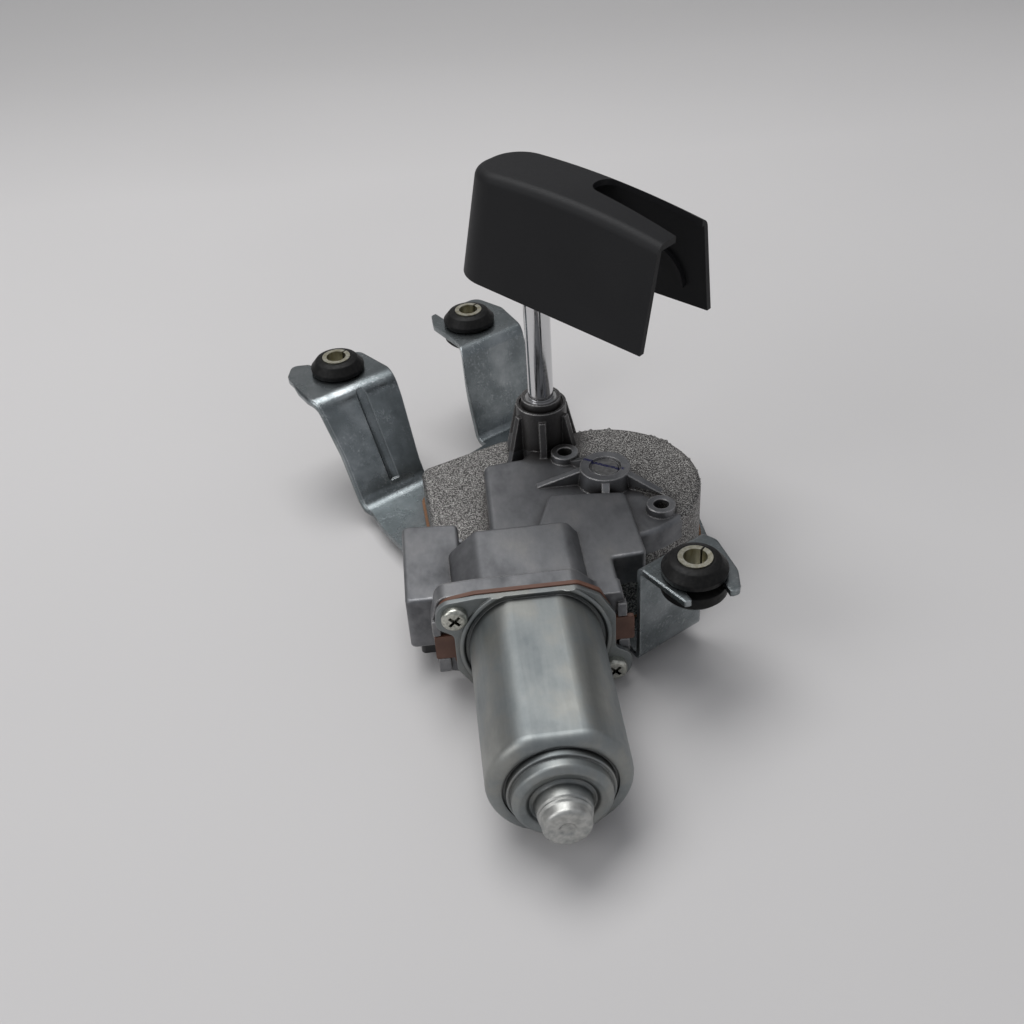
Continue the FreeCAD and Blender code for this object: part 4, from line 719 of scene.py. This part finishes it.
def round_bends(corners, reaches, steps=8):
    """The corners' line with each inner corner rounded, starting that far from it."""
    line = [Vector(corners[0])]
    for i, reach in enumerate(reaches, start=1):
        here = Vector(corners[i])
        before = here + (Vector(corners[i - 1]) - here).normalized() * reach
        after = here + (Vector(corners[i + 1]) - here).normalized() * reach
        for k in range(steps + 1):
            s = k / steps
            line.append(before * (1 - s) ** 2 + here * 2 * s * (1 - s) + after * s ** 2)
    line.append(Vector(corners[-1]))
    return line


def in_small_steps(line, step_mm=1.0):
    """The same line with a point at least every step."""
    points = [line[0]]
    for start, end in zip(line, line[1:]):
        parts = max(1, math.ceil((end - start).length / step_mm))
        points += [start.lerp(end, k / parts) for k in range(1, parts + 1)]
    return points


curl_line = in_small_steps(round_bends(SHEET_BENDS, BEND_REACH))
print("curl line has", len(curl_line), "points")

# %% [markdown]
# The sheet's edge isn't parallel to the arm, it widens towards the tab. So the
# curl's place across the arm is read from a second line, by the distance outwards.
# The arm also stands turned on the base, and one function turns the arm's own
# directions into the frame's.

# %% The sheet's edge, and the arm's directions
ARM_TURN = math.radians(31)
EDGE_LINE = [(-20.0, -56.5), (-46.0, -56.5), (-62.0, -59.5), (-80.0, -58.5)]


def edge_at(out):
    """Where the sheet's edge lies across the arm, for a distance outwards."""
    for (near_out, near_edge), (far_out, far_edge) in zip(EDGE_LINE, EDGE_LINE[1:]):
        if out >= far_out:
            return near_edge + (far_edge - near_edge) * (out - near_out) / (far_out - near_out)
    return EDGE_LINE[-1][1]


def from_arm(across, out, height):
    """A point of the frame, from the arm's own directions."""
    return Vector((across * math.cos(ARM_TURN) + out * math.sin(ARM_TURN),
                   across * math.sin(ARM_TURN) - out * math.cos(ARM_TURN), height))


print("sheet's edge at the tab", EDGE_LINE[-1][1], "mm across the arm")

# %% [markdown]
# A round section runs along that line. Real curls are open rolls, but the opening
# faces the sheet and isn't seen, so a full round is enough. It is thin at both ends,
# as if it grew out of the sheet, and it hangs just under the sheet's upper face.

# %% Curl along the first arm's edge
CURL_R = 1.7
CURL_REACH = 0.9
CURL_UNDER = 0.02
CURL_TIP = 0.45
CURL_GROWTH = 6
RING_POINTS = 12

curl_rings = []
for i, point in enumerate(curl_line):
    way = (curl_line[min(i + 1, len(curl_line) - 1)] - curl_line[max(i - 1, 0)]).normalized()
    upward = Vector((way.y, -way.x))
    share = i / (len(curl_line) - 1)
    r = CURL_R * min(1.0, CURL_TIP + CURL_GROWTH * share, CURL_TIP + CURL_GROWTH * (1 - share))
    centre = point - upward * (r + CURL_UNDER)
    curl_across = edge_at(point.x) + CURL_R - CURL_REACH
    ring = []
    for k in range(RING_POINTS):
        a = math.radians(360 / RING_POINTS * k)
        side = centre + upward * (r * math.sin(a))
        ring.append(from_arm(curl_across + r * math.cos(a), side.x, side.y))
    curl_rings.append(ring)
curl = skin_over("arm_curl", curl_rings)
fix_on(curl, "case", zinc)

# %% [markdown]
# ## The can
# The can is drawn from zinc-plated sheet too, but is duller: handling left brownish
# clouds and faint marks along the way it was drawn. The marks are a noise that is
# drawn out along Y, so it shows as long streaks. A copy of the bracket's finish
# with another gloss would miss both, so the can has a finish of its own.

# %% Zinc on the can
CAN_TONES = [(0.30, (0.185, 0.205, 0.212)), (0.48, (0.245, 0.262, 0.262)),
             (0.58, (0.275, 0.280, 0.266)), (0.75, (0.34, 0.345, 0.325))]
CAN_SCUFF = (0.37, 0.385, 0.375)

can_zinc = Finish("zinc_can", (0.27, 0.28, 0.275), metal=0.92, rough=0.46)
can_zinc.soft_edges(0.5)
drawn_marks = can_zinc.noise(0.5, detail=4.0, stretch=(1, 0.12, 1), rough=0.6)
can_cloud = can_zinc.noise(0.055, detail=5.0, stretch=(1, 0.7, 1), rough=0.6)
can_tone = can_zinc.ramp(can_cloud, CAN_TONES)
scuffs = can_zinc.ramp(drawn_marks, [(0.42, 0.0), (0.75, 0.22)])
marked = can_zinc.mix(scuffs, can_tone, CAN_SCUFF)
print("can has", len(CAN_TONES), "tones under its scuffs")

# %% [markdown]
# The bearing cup sticks out at the can's end, takes the knocks and is rubbed pale.
# The pale place could be a finish of its own, but cup and can are one piece of
# sheet. A share along Y is enough, since the cup is the only thing that far out.

# %% Rubbed cup, painted shade in corners and partly painted highlights on edges of the can
CUP_START = -158.0
CUP_FULL = -163.0
CUP_RUBBED = (0.50, 0.50, 0.48)
CAN_PAINTED_SHADE = (0.05, 0.052, 0.052)
CAN_EDGE_AND_HIGHLIGHT = (0.5, 0.51, 0.5)
CAN_EDGE_AND_HIGHLIGHT_SHARE = 0.4

past_start = can_zinc.maths("SUBTRACT", can_zinc.axes()["Y"], CUP_START)
cup_share = can_zinc.maths("DIVIDE", past_start, CUP_FULL - CUP_START, clamp=True)
cup_patches = can_zinc.ramp(can_zinc.noise(0.5, detail=4.0), [(0.35, 0.3), (0.6, 1.0)])
worn = can_zinc.mix(can_zinc.maths("MULTIPLY", cup_share, cup_patches), marked, CUP_RUBBED)
# painted shade: corners of the can and its flange are darkened by the corner measure
nested = can_zinc.mix(can_zinc.openness(3.0, 0.30, 0.92), CAN_PAINTED_SHADE, worn)
# pale edges: partly wear, partly a painted highlight along the edges
can_edges_and_highlight = can_zinc.maths("MULTIPLY", can_zinc.edge_line(0.02, 0.25), CAN_EDGE_AND_HIGHLIGHT_SHARE)
can_zinc.colour(can_zinc.mix(can_edges_and_highlight, nested, CAN_EDGE_AND_HIGHLIGHT))
can_zinc.rough(can_zinc.ramp(can_cloud, [(0.30, 0.52), (0.70, 0.40)]))
can_zinc.bump(drawn_marks, strength=0.06, distance_mm=0.05)
can_zinc.bump(can_cloud, strength=0.12, distance_mm=0.9)
dress(can_zinc, "motor_yoke")

# %% [markdown]
# ## Screws
# Small screws are plated in a drum, which leaves them pale, slightly yellow and
# scratched. The recess of the head is darkened as painted shade. It could be given
# a black material of its own; the corner measure finds it without picking faces
# by hand, and it fades out at the rim as shade does.

# %% Plated screws
RECESS_PAINTED_SHADE = (0.03, 0.03, 0.026)

screw_zinc = Finish("zinc_screws", (0.50, 0.50, 0.45), metal=1.0, rough=0.32)
screw_zinc.soft_edges(0.25)
screw_scratch = screw_zinc.noise(1.2, detail=3.0)
screw_tone = screw_zinc.ramp(screw_scratch, [(0.35, (0.38, 0.385, 0.345)),
                                             (0.65, (0.60, 0.60, 0.54))])
# painted shade: the head's recess is darkened by the corner measure
out_of_recess = screw_zinc.openness(1.2, 0.35, 0.85)
screw_zinc.colour(screw_zinc.mix(out_of_recess, RECESS_PAINTED_SHADE, screw_tone))
screw_zinc.bump(screw_scratch, strength=0.15, distance_mm=0.08)
dress(screw_zinc, "flange_screws", "cover_screws")

# %% [markdown]
# ## Polished shaft
# The output shaft is ground and polished, so it mirrors the room in long streaks.
# Grinding leaves rings round it, finer than the eye resolves. An anisotropic shader
# would stretch the gleam too, but it needs tangents. A noise that is squeezed along
# the axis gives the rings themselves, and the gleam follows from them.

# %% Polished shaft
polished = Finish("polished_steel", (0.66, 0.66, 0.67), metal=1.0, rough=0.12)
grind_rings = polished.noise(0.9, detail=3.0, stretch=(0.1, 0.1, 3.0))
polished.rough(polished.ramp(grind_rings, [(0.35, 0.08), (0.7, 0.20)]))
polished.bump(grind_rings, strength=0.06, distance_mm=0.05)
print("shaft finish", polished.material.name)

# %% [markdown]
# The shaft's upper end is threaded for the nut that holds the arm. The solid is a
# plain cylinder there. A swept thread would be a heavy mesh for a place that mostly
# stays hidden, so it is relief: a screw thread is a height that grows with Z and
# with the angle round the axis, and their sum, cut to its fraction, gives the flanks.

# %% Thread at the shaft's end
THREAD_FOOT = 48.6
THREAD_PITCH = 1.0

shaft_mm = polished.axes()
angle = polished.maths("ARCTAN2", shaft_mm["Y"], shaft_mm["X"])
turn_share = polished.maths("DIVIDE", angle, 2 * math.pi)
climb = polished.maths("ADD", polished.maths("DIVIDE", shaft_mm["Z"], THREAD_PITCH), turn_share)
from_middle = polished.maths("SUBTRACT", polished.maths("FRACT", climb), 0.5)
flank = polished.maths("ABSOLUTE", from_middle)
threaded = polished.maths("GREATER_THAN", shaft_mm["Z"], THREAD_FOOT)
polished.bump(polished.maths("MULTIPLY", flank, threaded), strength=1.0, distance_mm=0.9)
dress(polished, "output_shaft")

# %% [markdown]
# ## Small steel pieces
# The links, pins and washers are stamped or turned steel and never polished, so
# they are duller than the shaft. Most of them are hidden in the case, so one plain
# steel with a soft, uneven tone is enough for all of them.

# %% Turned and stamped steel
machined = Finish("machined_steel", (0.42, 0.42, 0.43), metal=1.0, rough=0.35)
machined_marks = machined.noise(0.8, detail=4.0)
machined.colour(machined.ramp(machined_marks, [(0.3, grey(0.34)), (0.7, grey(0.50))]))
machined.bump(machined_marks, strength=0.12, distance_mm=0.08)
dress(machined, "crank_pin", "pivot_pin", "guide_plate", "sector_link", "output_pinion",
      "shaft_washer", "shaft_clip", "armature_shaft", "brush_springs")

# %% [markdown]
# The wheel's pin is darker than the rest, as hardened steel is, and it carries the
# other half of the ink stripe. The sleeves in the grommets are rolled from sheet
# with a yellowish plating. They could share the steel above, but pin, sleeves and
# shaft are close together in the picture and do not look alike.

# %% Hardened pin with its ink, and rolled sleeves
pin_steel = Finish("pin_steel", (0.20, 0.20, 0.205), metal=1.0, rough=0.42)
pin_marks = pin_steel.noise(0.8, detail=4.0)
pin_tone = pin_steel.ramp(pin_marks, [(0.3, grey(0.15)), (0.7, grey(0.27))])
pin_steel.colour(pin_steel.mix(ink_stripe(pin_steel), pin_tone, INK_BLUE))
pin_steel.bump(pin_marks, strength=0.12, distance_mm=0.08)
dress(pin_steel, "wheel_pin")

sleeve_steel = Finish("sleeve_steel", (0.60, 0.58, 0.47), metal=1.0, rough=0.30)
sleeve_marks = sleeve_steel.noise(0.7, detail=3.0, stretch=(1, 1, 0.2))
sleeve_steel.colour(sleeve_steel.ramp(sleeve_marks, [(0.3, (0.45, 0.42, 0.30)),
                                                     (0.7, (0.72, 0.71, 0.62))]))
sleeve_steel.bump(sleeve_marks, strength=0.15, distance_mm=0.08)
dress(sleeve_steel, "grommet_sleeves")

# %% [markdown]
# ## Black plastic
# The arm cover is moulded plastic with a fine spark texture, matte with a weak
# sheen at low angles. A pure black would swallow its shape, so it stays a little
# above black and its specular level is low, which is how weathered plastic looks.
# The plug socket and the wheel's washer are much the same plastic, only smoother.

# %% Plastic of the cover and the plug socket
cover_plastic = Finish("cover_plastic", (0.010, 0.010, 0.011), metal=0.0, rough=0.50)
cover_plastic.shader.inputs["Specular IOR Level"].default_value = 0.20
spark_grain = cover_plastic.noise(3.2, detail=3.0, rough=0.6)
cover_cloud = cover_plastic.noise(0.03, detail=2.0)
cover_plastic.colour(cover_plastic.ramp(cover_cloud, [(0.3, (0.0085, 0.0085, 0.0095)),
                                                      (0.7, (0.0115, 0.0115, 0.0125))]))
cover_plastic.rough(cover_plastic.ramp(spark_grain, [(0.3, 0.58), (0.7, 0.44)]))
cover_plastic.bump(spark_grain, strength=0.30, distance_mm=0.12)
dress(cover_plastic, "arm_cover")

socket_plastic = Finish("socket_plastic", (0.014, 0.014, 0.015), metal=0.0, rough=0.38)
socket_grain = socket_plastic.noise(1.5, detail=2.0)
socket_plastic.rough(socket_plastic.ramp(socket_grain, [(0.3, 0.45), (0.7, 0.32)]))
socket_plastic.bump(socket_grain, strength=0.10, distance_mm=0.08)
dress(socket_plastic, "connector", "wheel_washer")

# %% [markdown]
# ## Rubber
# The grommets are moulded rubber: also black, with a softer and slightly uneven
# gloss and dust in the pores. Sheen would give a dusty look as well, but it lights
# the rim of a round form, as on velvet. A noise in tone and gloss keeps it rubber.

# %% Rubber of the grommets and the seal
rubber = Finish("grommet_rubber", (0.007, 0.007, 0.007), metal=0.0, rough=0.48)
rubber.shader.inputs["Specular IOR Level"].default_value = 0.18
rubber.soft_edges(0.6)
rubber_grain = rubber.noise(0.8, detail=4.0)
rubber.colour(rubber.ramp(rubber_grain, [(0.4, grey(0.005)), (0.8, grey(0.012, warm=0.05))]))
rubber.rough(rubber.ramp(rubber_grain, [(0.3, 0.56), (0.7, 0.40)]))
rubber.bump(rubber_grain, strength=0.15, distance_mm=0.15)
dress(rubber, "rubber_grommets", "shaft_seal")

# %% [markdown]
# ## Laminate and gasket
# The brush plate is brown phenolic laminate: paper layers in resin, so its faces
# are smooth and its cut edges show fine lines. One noise that is squeezed along Y
# does both, because the layers lie across Y. The gasket is compressed fibre, matte
# and speckled in every direction, so its noise isn't stretched.

# %% Laminate and gasket
laminate = Finish("brown_laminate", (0.11, 0.045, 0.028), metal=0.0, rough=0.45)
laminate_layers = laminate.noise(1.1, detail=3.0, stretch=(0.15, 4.0, 0.15))
laminate.colour(laminate.ramp(laminate_layers, [(0.3, (0.085, 0.036, 0.022)),
                                                (0.7, (0.15, 0.070, 0.045))]))
laminate.bump(laminate_layers, strength=0.12, distance_mm=0.06)
dress(laminate, "brush_plate", "contact_base", "commutator_hub")

gasket_fibre = Finish("gasket_fibre", (0.20, 0.10, 0.05), metal=0.0, rough=0.85)
fibre_marks = gasket_fibre.noise(1.3, detail=4.0)
gasket_fibre.colour(gasket_fibre.ramp(fibre_marks, [(0.3, (0.14, 0.07, 0.035)),
                                                    (0.7, (0.25, 0.13, 0.07))]))
gasket_fibre.bump(fibre_marks, strength=0.3, distance_mm=0.1)
dress(gasket_fibre, "cover_gasket")

# %% [markdown]
# ## Carbon, copper and brass inside the motor
# Brushes, magnets, windings and brush boxes are hidden while the case is closed.
# They are dressed all the same, because the part can be opened in other scenes. The
# winding's wires could be modelled one by one; a striped relief on a solid ring is
# enough at this size.

# %% Carbon, copper and brass
carbon = Finish("brush_carbon", (0.02, 0.02, 0.021), metal=0.0, rough=0.5)
carbon_grain = carbon.noise(2.2, detail=3.0)
carbon.colour(carbon.ramp(carbon_grain, [(0.3, grey(0.014)), (0.7, grey(0.04))]))
carbon.bump(carbon_grain, strength=0.2, distance_mm=0.08)
dress(carbon, "carbon_brushes", "field_magnets")

copper = Finish("winding_copper", (0.62, 0.24, 0.11), metal=1.0, rough=0.32)
wire_turns = copper.noise(1.4, detail=2.0, stretch=(1, 0.3, 1))
copper.colour(copper.ramp(wire_turns, [(0.35, (0.38, 0.13, 0.06)), (0.65, (0.74, 0.33, 0.17))]))
copper.bump(wire_turns, strength=0.5, distance_mm=0.3)
dress(copper, "armature_winding", "commutator", "park_contacts")

brass = Finish("contact_brass", (0.66, 0.47, 0.19), metal=1.0, rough=0.28)
brass_marks = brass.noise(0.8, detail=3.0)
brass.colour(brass.ramp(brass_marks, [(0.3, (0.52, 0.36, 0.14)), (0.7, (0.74, 0.56, 0.26))]))
brass.bump(brass_marks, strength=0.1, distance_mm=0.05)
dress(brass, "brush_holders", "connector_pins")

# %% [markdown]
# ## Bronze, core sheet and nylon
# The bushes are pressed from bronze powder and keep pores, the armature's core is a
# stack of thin sheets, and the worm wheel is cream nylon. Each gets one noise: a
# fine one for pores, one squeezed hard along Y for the sheets, a broad one for the
# plastic's clouds. More detail would only be seen with the motor taken apart.

# %% Bronze, core sheet and nylon
bronze = Finish("bearing_bronze", (0.36, 0.22, 0.10), metal=0.85, rough=0.5)
bronze_pores = bronze.noise(2.4, detail=4.0)
bronze.colour(bronze.ramp(bronze_pores, [(0.35, (0.20, 0.12, 0.05)), (0.6, (0.42, 0.27, 0.13))]))
bronze.bump(bronze_pores, strength=0.4, distance_mm=0.1)
dress(bronze, "tower_bushes", "front_bearing", "rear_bearing")

core_sheet = Finish("core_sheet", (0.20, 0.20, 0.215), metal=0.9, rough=0.42)
core_layers = core_sheet.noise(1.0, detail=1.0, stretch=(0.02, 2.0, 0.02))
core_sheet.colour(core_sheet.ramp(core_layers, [(0.4, grey(0.12)), (0.6, grey(0.26))]))
core_sheet.bump(core_layers, strength=0.5, distance_mm=0.15)
dress(core_sheet, "armature_core")

nylon = Finish("gear_nylon", (0.62, 0.58, 0.47), metal=0.0, rough=0.38)
nylon_cloud = nylon.noise(0.2, detail=3.0)
nylon.colour(nylon.ramp(nylon_cloud, [(0.3, (0.55, 0.50, 0.39)), (0.7, (0.68, 0.64, 0.54))]))
nylon.bump(nylon_cloud, strength=0.1, distance_mm=0.2)
dress(nylon, "worm_wheel", "thrust_pads")

# %% [markdown]
# ## Light
# A large soft lamp above and behind gives the long gleam on the can, a weaker one
# fills from the left, and the world gives the rest. Small lamps or a sun would cut
# hard shadows, which a studio avoids. Together they light a matte colour about as
# it is written, so the finishes can be judged by their own numbers.

# %% Lamps and world
MOTOR_MIDDLE = (0, -0.03, 0)
ROOM_TINT = (0.93, 0.95, 1.0, 1)
ROOM_LIGHT = 0.41


def soft_lamp(name, place, size, power):
    """A flat lamp of that width and depth, turned towards the motor."""
    data = bpy.data.lights.new(name, "AREA")
    data.shape = "RECTANGLE"
    data.size = size[0]
    data.size_y = size[1]
    data.energy = power
    lamp = bpy.data.objects.new(name, data)
    bpy.context.scene.collection.objects.link(lamp)
    lamp.location = place
    towards_motor = Vector(MOTOR_MIDDLE) - Vector(place)
    lamp.rotation_euler = towards_motor.to_track_quat("-Z", "Y").to_euler()
    print(name, power, "W")


soft_lamp("top_lamp", place=(-0.25, 0.35, 1.25), size=(1.1, 0.8), power=12)
soft_lamp("left_lamp", place=(-1.2, -0.5, 0.8), size=(0.8, 0.8), power=4.5)

world = bpy.data.worlds.new("room")
bpy.context.scene.world = world
world.use_nodes = True
world.node_tree.nodes["Background"].inputs["Color"].default_value = ROOM_TINT
world.node_tree.nodes["Background"].inputs["Strength"].default_value = ROOM_LIGHT
